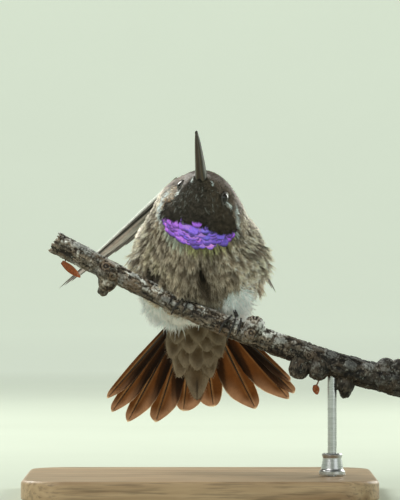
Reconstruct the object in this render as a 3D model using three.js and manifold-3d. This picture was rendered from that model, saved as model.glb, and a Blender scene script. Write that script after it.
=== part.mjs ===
// A male black-chinned hummingbird on a cut length of twig, held by a plain display stand.
// Millimetres, +Z up. The bird faces -Y with its bill raised, and its left side is towards +X.
// The origin is the middle of the stand base's underside.
import * as THREE from "three";
import { mergeVertices } from "three/addons/utils/BufferGeometryUtils.js";
import Module from "manifold-3d";

const wasm = await Module();
wasm.setup();

// ---------------------------------------------------------------- driving dimensions
const GAP = 0.3; // clearance between neighbouring solids
const BODY_SIDES = 24; // points round one section of the body
const BODY_SECTIONS = 22; // sections along the body

// Stations of the body from the root of the tail to the root of the bill:
// middle of the section (x, y, z), half width, height above and depth below the middle, roll in degrees.
const BODY_STATIONS = [
  { at: [-0.6, 11.9, 32.9], size: [4.4, 2.4, 1.9], roll: 0 }, // root of the tail
  { at: [-0.5, 10.2, 37.4], size: [8.4, 5.4, 5.6], roll: 0 }, // vent and rump
  { at: [-0.5, 6.4, 41.6], size: [12.2, 9.0, 9.4], roll: 0 }, // thighs
  { at: [-0.25, 1.2, 45.2], size: [13.8, 11.0, 11.4], roll: 0 }, // belly
  { at: [-0.15, -4.2, 49.2], size: [13.25, 10.6, 11.5], roll: 4 }, // breast
  { at: [-0.2, -9.0, 53.2], size: [10.55, 9.0, 9.9], roll: 9 }, // neck
  { at: [0.15, -13.2, 56.8], size: [8.75, 7.4, 8.0], roll: 15 }, // back of the head
  { at: [0.6, -17.0, 59.3], size: [6.55, 5.4, 6.4], roll: 19 }, // eyes
  { at: [0.45, -20.4, 61.0], size: [4.3, 3.8, 4.1], roll: 19 }, // lores
  { at: [0.3, -23.2, 62.5], size: [1.9, 1.7, 1.6], roll: 19 }, // root of the bill
];
const HEAD_CUT = 6.45; // stations at which the body is parted
const NECK_CUT = 4.75;
const RUMP_CUT = 1.3;
// The gorget: a patch let into the throat, a little proud of it.
const THROAT_PATCH = { inset: 0.35, proud: 0.5, from: 5.6, to: 6.9, half_angle: 67, middle: 275 };

const EYE = { radius: 1.5, station: 7.5, angle: -2, sunk: 0.95 };
const SOCKET = { depth: 0.75, stations: 0.75, degrees: 30 }; // the hollow that each eye sits in

const BILL = { length: 17.6, width: 2.3, height: 2.1, tip: 0.6, droop: 0.35 };
const BILL_AXIS = new THREE.Vector3(-0.05, -0.855, 0.516).normalize();

// The tail fan: each feather's angle from the middle line in degrees and its reach from the fan's centre,
// from the middle pair outwards, with the widths of its inner and outer vanes.
const FAN_CENTRE = new THREE.Vector3(-0.6, 8.0, 40.8);
const TAIL_SLOPE = 25; // degrees that the fan leans back from upright
const TAIL_ROOT = 8.2; // where the vanes start, from the fan's centre
const TAIL_THICK = 0.5;
const TAIL_LAYER = 0.62; // distance between stacked feathers
const RECTRICES = [
  { right: [5.8, 27.7], left: [7.1, 27.1], inner: 3.4, outer: 2.9, tip: 0.16 },
  { right: [15.9, 31.0], left: [24.1, 29.3], inner: 5.4, outer: 1.8, tip: 0.2 },
  { right: [25.8, 32.7], left: [37.8, 30.6], inner: 5.4, outer: 1.6, tip: 0.2 },
  { right: [33.0, 32.0], left: [41.2, 30.0], inner: 4.5, outer: 1.4, tip: 0.19 },
  { right: [38.1, 29.7], left: [44.1, 27.2], inner: 2.5, outer: 1.0, tip: 0.18 },
];
const UNDERTAIL = { length: 17.6, width: 11.8, thick: 1.3, start: 5.8 };
const UPPERTAIL = { length: 11.5, width: 9.5, thick: 1.2, start: 6.2 };

// Each wing's front edge runs from its wrist to its tip; "face" is the way its upper surface looks.
const WING = { thick: 0.52, coverts: 13, secondaries: 18.5, layer: 0.84 };
const WINGS = {
  right: { wrist: [-6.6, -8.0, 60.0], tip: [-29.2, 21.8, 40.7], face: [-0.365, 0.3, 0.88], width: 6.8 },
  left: { wrist: [6.0, -6.4, 57.2], tip: [15.9, 30.6, 39.7], face: [0.62, 0.22, 0.75], width: 6.8 },
};

// The twig's middle line and its radius at each point, from the broken end to the sawn end.
const TWIG_LINE = [
  [-28.6, -7.0, 50.3],
  [-20.8, -6.9, 46.3],
  [-12.4, -7.1, 41.9],
  [-4.5, -7.3, 37.9],
  [3.6, -7.3, 34.4],
  [12.2, -7.1, 31.3],
  [19.8, -6.9, 28.5],
  [27.5, -7.0, 25.7],
  [35.6, -7.2, 23.5],
  [43.5, -7.4, 21.9],
];
const TWIG_RADIUS = [2.2, 2.1, 1.9, 1.85, 1.95, 2.15, 2.3, 2.7, 2.9, 3.2];
// Knots: place along the twig from 0 to 1, angle round it (0 faces the front, 90 up), size.
const KNOTS = [
  { along: 0.148, angle: -30, radius: 2.2, out: 1.2 },
  { along: 0.158, angle: -78, radius: 1.9, out: 2.3 },
  { along: 0.158, angle: -100, radius: 1.1, out: 4.4 },
  { along: 0.529, angle: 66, radius: 2.3, out: 1.7 },
  { along: 0.524, angle: 2, radius: 2.1, out: 1.1 },
  { along: 0.68, angle: -74, radius: 2.1, out: 3.3 },
  { along: 0.73, angle: -56, radius: 2.2, out: 2.2 },
  { along: 0.807, angle: -84, radius: 1.9, out: 3.1 },
  { along: 0.813, angle: -96, radius: 1.2, out: 4.5 },
  { along: 0.9, angle: 78, radius: 2.1, out: 2.2 },
  { along: 0.935, angle: 70, radius: 2.1, out: 2.5 },
];
const BUD_SCALES = {
  bud_scale_left: { along: 0.036, drop: 0.4, length: 4.8, lean: 40, width: 1.3 },
  bud_scale_right: { along: 0.735, drop: 2.1, length: 2.0, lean: 78, width: 1.2 },
};

// Each foot: where it stands along the twig, its three front toes' offsets, and each one's reach round the twig.
const FEET = {
  right: { along: 0.342, toes: [-0.028, -0.012, 0.012], reach: [102, 165, 108], hip: [-4.6, 0.4, 43.6] },
  left: { along: 0.481, toes: [-0.026, -0.003, 0.014], reach: [142, 165, 118], hip: [4.8, 0.6, 42.4] },
};
const TOE = { radius: 0.29, claw: 0.26, back: 96, apart: 0.0125 };
const SHANK_RADIUS = 0.55;

const BASE = { width: 70, depth: 56, height: 4, corner: 9, edge: 0.8, shift: [0, 0] };
const ROD = { x: 26.2, radius: 0.9, seat: 1.6, socket: 2.5, ferrule: 2.6, ferrule_height: 4.5 };

// ---------------------------------------------------------------- small tools
const vec = (x, y, z) => new THREE.Vector3(x, y, z);
const UP = vec(0, 0, 1);
const rad = THREE.MathUtils.degToRad;
const smooth = (x) => THREE.MathUtils.smoothstep(x, 0, 1);

// A closed surface through rings with the same number of points, each end closed by a fan.
function surfaceOfRings(rings) {
  const n = rings[0].length;
  const points = rings.flat();
  const middle = (ring) => ring.reduce((sum, p) => sum.add(p), vec(0, 0, 0)).divideScalar(n);
  const first = points.push(middle(rings[0])) - 1;
  const last = points.push(middle(rings[rings.length - 1])) - 1;
  const faces = [];
  for (let i = 0; i + 1 < rings.length; i++) {
    for (let j = 0; j < n; j++) {
      const k = (j + 1) % n;
      const [a, b, c, d] = [i * n + j, i * n + k, (i + 1) * n + k, (i + 1) * n + j];
      faces.push(a, b, c, a, c, d);
    }
  }
  const end = (rings.length - 1) * n;
  for (let j = 0; j < n; j++) {
    const k = (j + 1) % n;
    faces.push(first, k, j);
    faces.push(last, end + j, end + k);
  }
  let volume = 0;
  for (let i = 0; i < faces.length; i += 3) {
    const [a, b, c] = [points[faces[i]], points[faces[i + 1]], points[faces[i + 2]]];
    volume += a.dot(vec(0, 0, 0).crossVectors(b, c));
  }
  const geometry = new THREE.BufferGeometry().setFromPoints(points);
  return geometry.setIndex(volume < 0 ? faces.reverse() : faces);
}

function solidOf(geometry) {
  const bare = geometry.clone();
  bare.deleteAttribute("normal");
  bare.deleteAttribute("uv");
  const merged = mergeVertices(bare, 1e-4);
  return new wasm.Manifold(
    new wasm.Mesh({
      numProp: 3,
      vertProperties: new Float32Array(merged.attributes.position.array),
      triVerts: new Uint32Array(merged.index.array),
    }),
  );
}

const solidOfRings = (rings) => solidOf(surfaceOfRings(rings));

function solidOfSphere(centre, radius, scale = [1, 1, 1], segments = 20) {
  const sphere = new THREE.SphereGeometry(radius, segments, Math.round(segments * 0.6));
  sphere.scale(...scale).translate(centre.x, centre.y, centre.z);
  return solidOf(sphere);
}

// The largest of the bodies that a cut may leave.
function mainBody(solid) {
  return solid.decompose().reduce((best, body) => (body.volume() > best.volume() ? body : best));
}

function geometryOf(solid) {
  const mesh = solid.getMesh();
  const geometry = new THREE.BufferGeometry();
  geometry.setAttribute("position", new THREE.BufferAttribute(new Float32Array(mesh.vertProperties), 3));
  return geometry.setIndex(new THREE.BufferAttribute(new Uint32Array(mesh.triVerts), 1));
}

// ---------------------------------------------------------------- the body's form
const stationCurve = (pick) =>
  new THREE.CatmullRomCurve3(BODY_STATIONS.map((s) => vec(...pick(s))), false, "centripetal");
const spine = stationCurve((s) => s.at);
const girth = stationCurve((s) => s.size);
const rolls = stationCurve((s) => [s.roll, 0, 0]);
const LAST_STATION = BODY_STATIONS.length - 1;

// Middle, forward, left and dorsal directions and size of the section at a station number.
function bodySection(station) {
  const t = THREE.MathUtils.clamp(station / LAST_STATION, 0, 1);
  const forward = spine.getTangent(t);
  const roll = rad(rolls.getPoint(t).x);
  const level = vec(1, 0, 0).addScaledVector(forward, -forward.x).normalize();
  const top = vec(0, 0, 0).crossVectors(forward, level);
  const left = level.clone().multiplyScalar(Math.cos(roll)).addScaledVector(top, -Math.sin(roll));
  const dorsal = top.clone().multiplyScalar(Math.cos(roll)).addScaledVector(level, Math.sin(roll));
  return { centre: spine.getPoint(t), forward, left, dorsal, size: girth.getPoint(t) };
}

// A point of the body's surface at a station and an angle round it: 0 is the left side, 90 the back.
function bodyPoint(station, angle, grow = 0) {
  const s = bodySection(station);
  const high = angle % 360 < 180 && angle > 0 ? s.size.y : s.size.z;
  const a = rad(angle);
  const aside = (THREE.MathUtils.euclideanModulo(angle - EYE.angle + 90, 180) - 90) / SOCKET.degrees;
  const ahead = (station - EYE.station) / SOCKET.stations;
  const dent = SOCKET.depth * Math.exp(-aside * aside - ahead * ahead);
  return s.centre
    .addScaledVector(s.left, (s.size.x + grow - dent) * Math.cos(a))
    .addScaledVector(s.dorsal, (high + grow) * Math.sin(a));
}

function bodyRing(station, grow, sides = BODY_SIDES) {
  return Array.from({ length: sides }, (_, j) => bodyPoint(station, (j * 360) / sides, grow));
}

function bodySolid(grow = 0, from = 0, to = LAST_STATION, sections = BODY_SECTIONS) {
  const stations = Array.from({ length: sections + 1 }, (_, i) => from + ((to - from) * i) / sections);
  return solidOfRings(stations.map((s) => bodyRing(s, grow)));
}

// Keeps what lies ahead of a station (side 1) or behind it (side -1), half a gap away from the cut.
function cutAt(solid, station, side) {
  const s = bodySection(station);
  const normal = s.forward.clone().multiplyScalar(side);
  return solid.trimByPlane(normal.toArray(), normal.dot(s.centre) + GAP / 2);
}

// ---------------------------------------------------------------- bill and eyes
// One half of the bill: a tapered half cone, flat along the gape.
function billHalf(upper) {
  const root = bodySection(LAST_STATION);
  const centre = root.centre.clone().addScaledVector(BILL_AXIS, GAP);
  const side = root.left;
  const top = vec(0, 0, 0).crossVectors(BILL_AXIS, side).normalize();
  const rings = [];
  const steps = 9;
  const arc = 6;
  for (let i = 0; i <= steps; i++) {
    const t = i / steps;
    const taper = Math.pow(1 - t, 0.45) * (1 - 0.15 * t);
    const half = Math.max(BILL.tip / 2, (BILL.width / 2) * taper);
    const high = Math.max(0.3, (BILL.height / 2) * taper);
    const bend = -BILL.droop * t * t;
    const middle = centre.clone().addScaledVector(BILL_AXIS, BILL.length * t).addScaledVector(top, bend);
    const ring = [];
    for (let j = 0; j <= arc; j++) {
      const a = (Math.PI * j) / arc;
      const h = 0.06 + high * Math.sin(a);
      ring.push(
        middle
          .clone()
          .addScaledVector(side, half * Math.cos(a))
          .addScaledVector(top, upper ? h : -h),
      );
    }
    rings.push(ring);
  }
  return solidOfRings(rings);
}

function eyeCentre(side) {
  const angle = side > 0 ? EYE.angle : 180 - EYE.angle;
  const out = bodySection(EYE.station).left.multiplyScalar(side);
  return bodyPoint(EYE.station, angle).addScaledVector(out, -EYE.sunk);
}

const eyeSolid = (side, grow = 0) => solidOfSphere(eyeCentre(side), EYE.radius + grow, [1, 1, 1], 12);

// The gorget's solid: a curved plate under the throat.
function throatSolid(grow = 0) {
  const rings = [];
  const steps = 8;
  const arc = 10;
  for (let i = 0; i <= steps; i++) {
    const t = i / steps;
    const station = THREE.MathUtils.lerp(THROAT_PATCH.from - grow * 0.2, THROAT_PATCH.to + grow * 0.2, t);
    const spread = (THROAT_PATCH.half_angle + grow * 8) * Math.sqrt(Math.sin(Math.PI * (0.16 + 0.72 * t)));
    const first = THROAT_PATCH.middle - spread;
    const angles = Array.from({ length: arc + 1 }, (_, j) => first + (2 * spread * j) / arc);
    rings.push([
      ...angles.map((a) => bodyPoint(station, a, -THROAT_PATCH.inset - grow)),
      ...angles.reverse().map((a, j) => {
        const rim = 0.3 + 0.7 * Math.sin((Math.PI * j) / arc);
        return bodyPoint(station, a, THROAT_PATCH.proud * rim + grow);
      }),
    ]);
  }
  return solidOfRings(rings);
}

// ---------------------------------------------------------------- feathers
// A flat feather: a shaft from root to tip with a vane on each side, slightly arched, with an oblique end.
function vaneSolid({ root, tip, across, face, inner, outer, thick, oblique, arch = 0.3, steps = 7 }) {
  const rings = [];
  for (let i = 0; i <= steps; i++) {
    const t = i / steps;
    const open = 0.3 + 0.7 * smooth(t / 0.24);
    const close = Math.min(1, (1 - t) / oblique);
    const inside = Math.max(0.28, inner * open * Math.pow(close, 0.85));
    const outside = Math.max(0.24, outer * open * Math.pow(Math.min(1, ((1 - t) / oblique) * 1.4), 0.6));
    const middle = root.clone().lerp(tip, t);
    const at = (w, h) =>
      middle.clone().addScaledVector(across, w).addScaledVector(face, h - arch * Math.pow(w / inner, 2));
    const h = thick / 2;
    rings.push([
      at(inside, -h),
      at(inside * 0.5, -h),
      at(0, -h),
      at(-outside, -h),
      at(-outside, h),
      at(0, h),
      at(inside * 0.5, h),
      at(inside, h),
    ]);
  }
  return solidOfRings(rings);
}

const fanDown = vec(0, Math.sin(rad(TAIL_SLOPE)), -Math.cos(rad(TAIL_SLOPE)));
const fanBelow = vec(0, -Math.cos(rad(TAIL_SLOPE)), -Math.sin(rad(TAIL_SLOPE)));

// The direction of a tail feather: side is 1 on the bird's left, and the angle opens from the middle line.
function fanDirection(side, angle) {
  return vec(side * Math.sin(rad(angle)), 0, 0).addScaledVector(fanDown, Math.cos(rad(angle)));
}

function tailFeather(side, index) {
  const spec = RECTRICES[index];
  const [angle, reach] = side > 0 ? spec.left : spec.right;
  const direction = fanDirection(side, angle);
  const across = vec(-side * Math.cos(rad(angle)), 0, 0).addScaledVector(fanDown, Math.sin(rad(angle)));
  const layer = (index === 0 && side > 0 ? -1 : index) * TAIL_LAYER;
  const start = FAN_CENTRE.clone().addScaledVector(fanBelow, layer);
  const root = Math.min(TAIL_ROOT / Math.cos(rad(angle)), TAIL_ROOT * 1.18);
  const feather = vaneSolid({
    root: start.clone().addScaledVector(direction, root),
    tip: start.clone().addScaledVector(direction, reach),
    across,
    face: fanBelow.clone().negate(),
    inner: spec.inner,
    outer: spec.outer,
    thick: TAIL_THICK,
    oblique: spec.tip,
    arch: 0,
  });
  return index === 0 ? feather : feather.trimByPlane([side, 0, 0], side * FAN_CENTRE.x + GAP / 2);
}

// The wedge of coverts under or over the root of the tail.
function covertWedge(spec, direction, lift, grow = 0) {
  const normal = fanBelow.clone().multiplyScalar(direction);
  const start = FAN_CENTRE.clone().addScaledVector(normal, lift - grow);
  const rings = [];
  const steps = 10;
  for (let i = 0; i <= steps; i++) {
    const t = i / steps;
    const half = grow + Math.max(0.4, (spec.width / 2) * Math.pow(1 - t, 0.62));
    const high = 2 * grow + Math.max(0.5, spec.thick * (1 - 0.6 * t));
    const middle = start.clone().addScaledVector(fanDown, spec.start - grow + (spec.length + 2 * grow) * t);
    const ring = [];
    for (let j = 0; j <= 6; j++) {
      const a = (Math.PI * j) / 6;
      const aside = vec(half * Math.cos(a), 0, 0);
      ring.push(middle.clone().add(aside).addScaledVector(normal, high * Math.sin(a)));
    }
    rings.push(ring);
  }
  return solidOfRings(rings);
}

// ---------------------------------------------------------------- wings
// Axes of a wing: along to the tip, out of its upper face, and back across its blade.
function wingAxes(wing) {
  const wrist = vec(...wing.wrist);
  const tip = vec(...wing.tip);
  const along = tip.clone().sub(wrist).normalize();
  const face = vec(...wing.face);
  face.addScaledVector(along, -face.dot(along)).normalize();
  const back = vec(0, 0, 0).crossVectors(along, face);
  if (back.x * wrist.x > 0) back.negate();
  return { wrist, tip, along, face, back, span: wrist.distanceTo(tip) };
}

// A blade of the wing between two distances from the wrist; "shape" gives its front and back edges
// as shares of the wing's width.
function wingBlade(wing, { from, to, shape, layer }, grow = 0) {
  const axes = wingAxes(wing);
  const rings = [];
  const steps = 8;
  for (let i = 0; i <= steps; i++) {
    const t = i / steps;
    const along = from + (to - from) * t + (i === 0 ? -grow : i === steps ? grow : 0);
    const middle = axes.wrist
      .clone()
      .addScaledVector(axes.along, along)
      .addScaledVector(axes.face, layer * WING.layer);
    const h = WING.thick / 2 + grow;
    const at = (w, side) => {
      const bow = -0.022 * Math.pow(w - 2.5, 2);
      return middle.clone().addScaledVector(axes.back, w).addScaledVector(axes.face, bow + side * h);
    };
    const [front, rear] = shape(t).map((share) => share * wing.width);
    const [low, high] = [front - grow, rear + grow];
    const third = (high - low) / 3;
    const stops = [low, low + third, high - third, high];
    rings.push([...stops.map((w) => at(w, 1)), ...stops.reverse().map((w) => at(w, -1))]);
  }
  return solidOfRings(rings);
}

// Front and back edges of the long flight feathers, the inner flight feathers and the coverts.
const primaryShape = (t) => {
  const front = -0.1 * Math.sin(Math.PI * t);
  return [front, front + 0.07 + (0.55 + 0.4 * smooth(t / 0.25)) * Math.pow(1 - Math.pow(t, 2.2), 0.9)];
};
const secondaryShape = (t) => [0.3, 0.42 + (0.72 + 0.26 * t) * Math.pow(1 - t * t * 0.98, 0.3)];
const covertShape = (t) => [0.24, 0.34 + (0.42 + 0.35 * smooth(t * 2)) * Math.pow(1 - t * t * 0.96, 0.4)];

function wingSolids(name) {
  const wing = WINGS[name];
  const pieces = {
    primaries: { from: 1.5, to: wingAxes(wing).span, shape: primaryShape, layer: 0 },
    secondaries: { from: 2.5, to: WING.secondaries, shape: secondaryShape, layer: 1 },
    coverts: { from: -0.6, to: WING.coverts, shape: covertShape, layer: 2 },
  };
  return Object.entries(pieces).map(([part, piece]) => ({
    name: `wing_${name}_${part}`,
    solid: wingBlade(wing, piece),
    cutter: wingBlade(wing, piece, GAP),
  }));
}

// ---------------------------------------------------------------- twig and feet
const twigLine = new THREE.CatmullRomCurve3(TWIG_LINE.map((p) => vec(...p)), false, "centripetal");
const twigGirth = new THREE.CatmullRomCurve3(TWIG_RADIUS.map((r) => vec(r, 0, 0)), false, "centripetal");

// Frame of the twig at a share of its points: front looks to -Y and over looks up.
function twigFrame(along) {
  const t = THREE.MathUtils.clamp(along, 0, 1);
  const forward = twigLine.getTangent(t);
  const over = UP.clone().addScaledVector(forward, -forward.z).normalize();
  const front = vec(0, 0, 0).crossVectors(over, forward);
  if (front.y > 0) front.negate();
  return { centre: twigLine.getPoint(t), forward, over, front, radius: twigGirth.getPoint(t).x };
}

function twigPoint(along, angle, out) {
  const f = twigFrame(along);
  const a = rad(angle);
  return f.centre.addScaledVector(f.front, out * Math.cos(a)).addScaledVector(f.over, out * Math.sin(a));
}

function twigSolid(grow = 0) {
  const steps = 24;
  const sides = 12;
  const rings = [];
  for (let i = 0; i <= steps; i++) {
    const along = i / steps;
    const { radius } = twigFrame(along);
    rings.push(
      Array.from({ length: sides }, (_, j) => {
        const wobble = 1 + 0.045 * Math.sin(7.3 * along * Math.PI + j * 1.4) * Math.sin(j * 2.1 + 9 * along);
        return twigPoint(along, (j * 360) / sides, radius * wobble + grow);
      }),
    );
  }
  return KNOTS.reduce((solid, knot) => {
    const centre = twigPoint(knot.along, knot.angle, knot.out);
    return solid.add(solidOfSphere(centre, knot.radius + grow, [1.05, 0.85, 0.9], 8));
  }, solidOfRings(rings));
}

// A small leaf-like scale that hangs below the twig, leaning over by an angle from level.
function budScale({ along, drop, length, lean, width }) {
  const f = twigFrame(along);
  const start = twigPoint(along, -90, f.radius + drop + GAP);
  const down = vec(Math.cos(rad(lean)), 0, -Math.sin(rad(lean)));
  const across = vec(0, 0, 0).crossVectors(down, vec(0, 1, 0));
  const rings = [];
  for (let i = 0; i <= 6; i++) {
    const t = i / 6;
    const wide = 0.14 + (width / 2) * Math.sin(Math.PI * Math.min(1, 0.12 + 0.88 * t));
    const middle = start.clone().addScaledVector(down, length * t);
    const at = (w, y) => middle.clone().addScaledVector(across, w).add(vec(0, y, 0));
    rings.push([at(-wide, 0), at(0, -0.27), at(wide, 0), at(0, 0.27)]);
  }
  return solidOfRings(rings);
}

// A toe with its claw: a tube that curves round the twig from its top, forwards or backwards.
function toeSolid(foot, start, offset, reach, way) {
  const steps = 6;
  const sides = 6;
  const rings = [];
  for (let i = 0; i <= steps; i++) {
    const t = i / steps;
    const angle = 90 - way * (8 + (reach - 8) * t) + (way < 0 ? 14 : 0);
    const place = foot.along + THREE.MathUtils.lerp(start, offset, smooth(t * 1.4));
    const f = twigFrame(place);
    const thick = t < 0.7 ? TOE.radius : THREE.MathUtils.lerp(TOE.radius, TOE.claw, (t - 0.7) / 0.3);
    const clear = f.radius * 1.05 + GAP + TOE.radius + 0.1;
    const centre = twigPoint(place, angle, clear);
    const outward = centre.clone().sub(f.centre).normalize();
    rings.push(
      Array.from({ length: sides }, (_, j) => {
        const a = (2 * Math.PI * j) / sides;
        return centre
          .clone()
          .addScaledVector(outward, thick * Math.cos(a))
          .addScaledVector(f.forward, thick * Math.sin(a));
      }),
    );
  }
  return solidOfRings(rings);
}

function shankSolid(foot, grow = 0) {
  const f = twigFrame(foot.along);
  const ankle = twigPoint(foot.along, 97, f.radius * 1.05 + GAP * 2 + TOE.radius * 2 + 0.45);
  const hip = vec(...foot.hip);
  const direction = hip.clone().sub(ankle).normalize();
  const side = vec(1, 0, 0).addScaledVector(direction, -direction.x).normalize();
  const other = vec(0, 0, 0).crossVectors(direction, side);
  const rings = [];
  for (let i = 0; i <= 3; i++) {
    const centre = ankle.clone().lerp(hip, i / 3).addScaledVector(direction, grow * (i - 1.5));
    const radius = SHANK_RADIUS * (1 + 0.25 * (i === 0) - 0.1 * (i === 1)) + grow;
    rings.push(
      Array.from({ length: 8 }, (_, j) => {
        const a = (Math.PI * j) / 4;
        return centre
          .clone()
          .addScaledVector(side, radius * Math.cos(a))
          .addScaledVector(other, radius * Math.sin(a));
      }),
    );
  }
  return solidOfRings(rings);
}

// ---------------------------------------------------------------- stand
function baseSolid() {
  const [w, d, c] = [BASE.width / 2 - BASE.edge, BASE.depth / 2 - BASE.edge, BASE.corner - BASE.edge];
  const outline = new THREE.Shape();
  outline.moveTo(-w + c, -d);
  outline.lineTo(w - c, -d).absarc(w - c, -d + c, c, -Math.PI / 2, 0, false);
  outline.lineTo(w, d - c).absarc(w - c, d - c, c, 0, Math.PI / 2, false);
  outline.lineTo(-w + c, d).absarc(-w + c, d - c, c, Math.PI / 2, Math.PI, false);
  outline.lineTo(-w, -d + c).absarc(-w + c, -d + c, c, Math.PI, 1.5 * Math.PI, false);
  const plate = new THREE.ExtrudeGeometry(outline, {
    depth: BASE.height - 2 * BASE.edge,
    bevelThickness: BASE.edge,
    bevelSize: BASE.edge,
    bevelSegments: 1,
    curveSegments: 4,
  });
  plate.translate(BASE.shift[0], BASE.shift[1], BASE.edge);
  return solidOf(plate).subtract(upright(ROD.radius + GAP, BASE.height - ROD.socket, BASE.height + 1));
}

const twigAtRod = () => {
  let best = 0;
  for (let i = 0; i <= 400; i++) {
    const here = Math.abs(twigLine.getPoint(i / 400).x - ROD.x);
    if (here < Math.abs(twigLine.getPoint(best).x - ROD.x)) best = i / 400;
  }
  return twigFrame(best);
};
const rodPlace = twigAtRod();

// An upright cylinder on the rod's line, between two heights.
function upright(radius, low, high, sides = 16) {
  const cylinder = new THREE.CylinderGeometry(radius, radius, high - low, sides);
  cylinder.rotateX(Math.PI / 2).translate(ROD.x, rodPlace.centre.y, (low + high) / 2);
  return solidOf(cylinder);
}

const rodTop = rodPlace.centre.z - rodPlace.radius + ROD.seat;
const rodSolid = () => upright(ROD.radius, BASE.height - ROD.socket + GAP, rodTop);
const ferruleSolid = () =>
  upright(ROD.ferrule, BASE.height + GAP, BASE.height + ROD.ferrule_height).subtract(
    upright(ROD.radius + GAP, 0, BASE.height + ROD.ferrule_height + 1),
  );

// ---------------------------------------------------------------- assembly
const material = (color, roughness, metalness = 0) =>
  new THREE.MeshStandardMaterial({ color: new THREE.Color(color), roughness, metalness });
const MATERIALS = {
  head: material("#4d443c", 0.9),
  throat: material("#7a4fe0", 0.35, 0.6),
  body: material("#8d8272", 0.95),
  vent: material("#d8dcd4", 0.95),
  coverts: material("#6d5f50", 0.9),
  tail: material("#7a4a26", 0.6),
  wing: material("#6f6259", 0.55),
  back: material("#55684a", 0.5, 0.2),
  bill: material("#1d1917", 0.35),
  eye: material("#060505", 0.05),
  foot: material("#17130f", 0.5),
  bark: material("#77685a", 0.95),
  bud: material("#8a4524", 0.8),
  steel: material("#9a9c9e", 0.3, 1.0),
  wood: material("#c9b391", 0.55),
};

const bird = new THREE.Group();
function place(name, solid, look) {
  const mesh = new THREE.Mesh(geometryOf(mainBody(solid)), MATERIALS[look]);
  mesh.name = name;
  bird.add(mesh);
}

const twig = twigSolid();
const twigCutter = twigSolid(GAP * 2 + TOE.radius * 2 + 0.25);
const wings = [...wingSolids("right"), ...wingSolids("left")];

const feet = {};
for (const [name, foot] of Object.entries(FEET)) {
  ["inner", "middle", "outer"].forEach((toe, i) => {
    feet[`foot_${name}_toe_${toe}`] = toeSolid(foot, (i - 1) * TOE.apart, foot.toes[i], foot.reach[i], 1);
  });
  feet[`foot_${name}_toe_hind`] = toeSolid(foot, 0, 0.002, TOE.back, -1);
  feet[`leg_${name}`] = shankSolid(foot);
}

const tail = {};
for (const [name, side] of [["right", -1], ["left", 1]]) {
  RECTRICES.forEach((_, i) => {
    tail[`tail_${name}_feather_${i + 1}`] = tailFeather(side, i);
  });
}
const covertPlaces = [
  [UNDERTAIL, 1, TAIL_LAYER * 4 + TAIL_THICK / 2 + GAP],
  [UPPERTAIL, -1, TAIL_LAYER + TAIL_THICK / 2 + GAP],
];
const [undertail, uppertail] = covertPlaces.map((place) => covertWedge(...place));
const covertCutters = covertPlaces.map((place) => covertWedge(...place, GAP));

// The body with room for what meets it, then parted at the neck and the rump.
const shankCutters = Object.values(FEET).map((foot) => shankSolid(foot, GAP * 1.2));
let body = bodySolid();
const wingCutters = wings.map((w) => w.cutter);
const cutters = [twigCutter, throatSolid(GAP), ...wingCutters, ...shankCutters, ...covertCutters];
for (const cutter of cutters) body = body.subtract(cutter);
for (const side of [-1, 1]) body = body.subtract(eyeSolid(side, GAP));
const tailward = fanDown.clone().negate();
body = body.trimByPlane(tailward.toArray(), tailward.dot(FAN_CENTRE) - (TAIL_ROOT - GAP));

const parts = {
  head: cutAt(body, HEAD_CUT, 1),
  neck: cutAt(cutAt(body, HEAD_CUT, -1), NECK_CUT, 1),
  trunk: cutAt(cutAt(body, NECK_CUT, -1), RUMP_CUT, 1),
  rump: cutAt(body, RUMP_CUT, -1),
};
for (const [name, solid] of Object.entries(parts)) {
  place(name, solid, name === "head" ? "head" : name === "rump" ? "vent" : "body");
}

place("throat_gorget", throatSolid(), "throat");

place("eye_right", eyeSolid(-1), "eye");
place("eye_left", eyeSolid(1), "eye");
place("bill_upper", billHalf(true), "bill");
place("bill_lower", billHalf(false), "bill");
for (const { name, solid } of wings) place(name, solid, name.endsWith("coverts") ? "back" : "wing");
for (const [name, solid] of Object.entries(tail)) place(name, solid, "tail");
place("undertail_coverts", undertail, "coverts");
place("uppertail_coverts", uppertail, "back");
for (const [name, solid] of Object.entries(feet)) place(name, solid, "foot");

place("perch_twig", twig.subtract(upright(ROD.radius + GAP, 0, rodTop + GAP)), "bark");
for (const [name, scale] of Object.entries(BUD_SCALES)) place(`perch_${name}`, budScale(scale), "bud");
place("stand_rod", rodSolid(), "steel");
place("stand_ferrule", ferruleSolid(), "steel");
place("stand_base", baseSolid(), "wood");

export default bird;
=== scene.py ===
"""Perched hummingbird: a male black-chinned hummingbird on a cut length of twig over a plain display stand.

Lengths are millimetres until a mesh is made. The bird faces -Y with its bill raised, its left side is
towards +X and +Z is up. A place on the body is a station from 0, the root of the tail, to 9, the root of
the bill, and an angle round that section: 0 is the bird's left side, 90 its back and 270 its belly.
"""
from itertools import product

import bpy
import numpy as np
from bpy.props import FloatProperty, FloatVectorProperty, IntProperty, PointerProperty
from bpy.types import Operator, Panel, PropertyGroup
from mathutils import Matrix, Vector


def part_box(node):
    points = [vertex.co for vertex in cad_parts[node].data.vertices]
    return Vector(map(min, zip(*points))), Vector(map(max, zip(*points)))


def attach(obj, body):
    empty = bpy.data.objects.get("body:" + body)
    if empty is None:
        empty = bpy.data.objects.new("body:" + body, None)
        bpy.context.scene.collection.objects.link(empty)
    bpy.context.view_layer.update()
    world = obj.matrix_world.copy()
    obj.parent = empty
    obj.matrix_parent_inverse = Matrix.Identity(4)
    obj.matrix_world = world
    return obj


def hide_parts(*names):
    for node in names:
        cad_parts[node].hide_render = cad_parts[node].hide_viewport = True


bl_info = {
    "name": "Perched Hummingbird",
    "version": (1, 0, 0),
    "blender": (4, 5, 0),
    "location": "3D View > Sidebar > Hummingbird",
    "description": "Builds the plumage, bill, eyes, feet, perch and stand of a life-size hummingbird model",
    "category": "Add Mesh",
}

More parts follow.
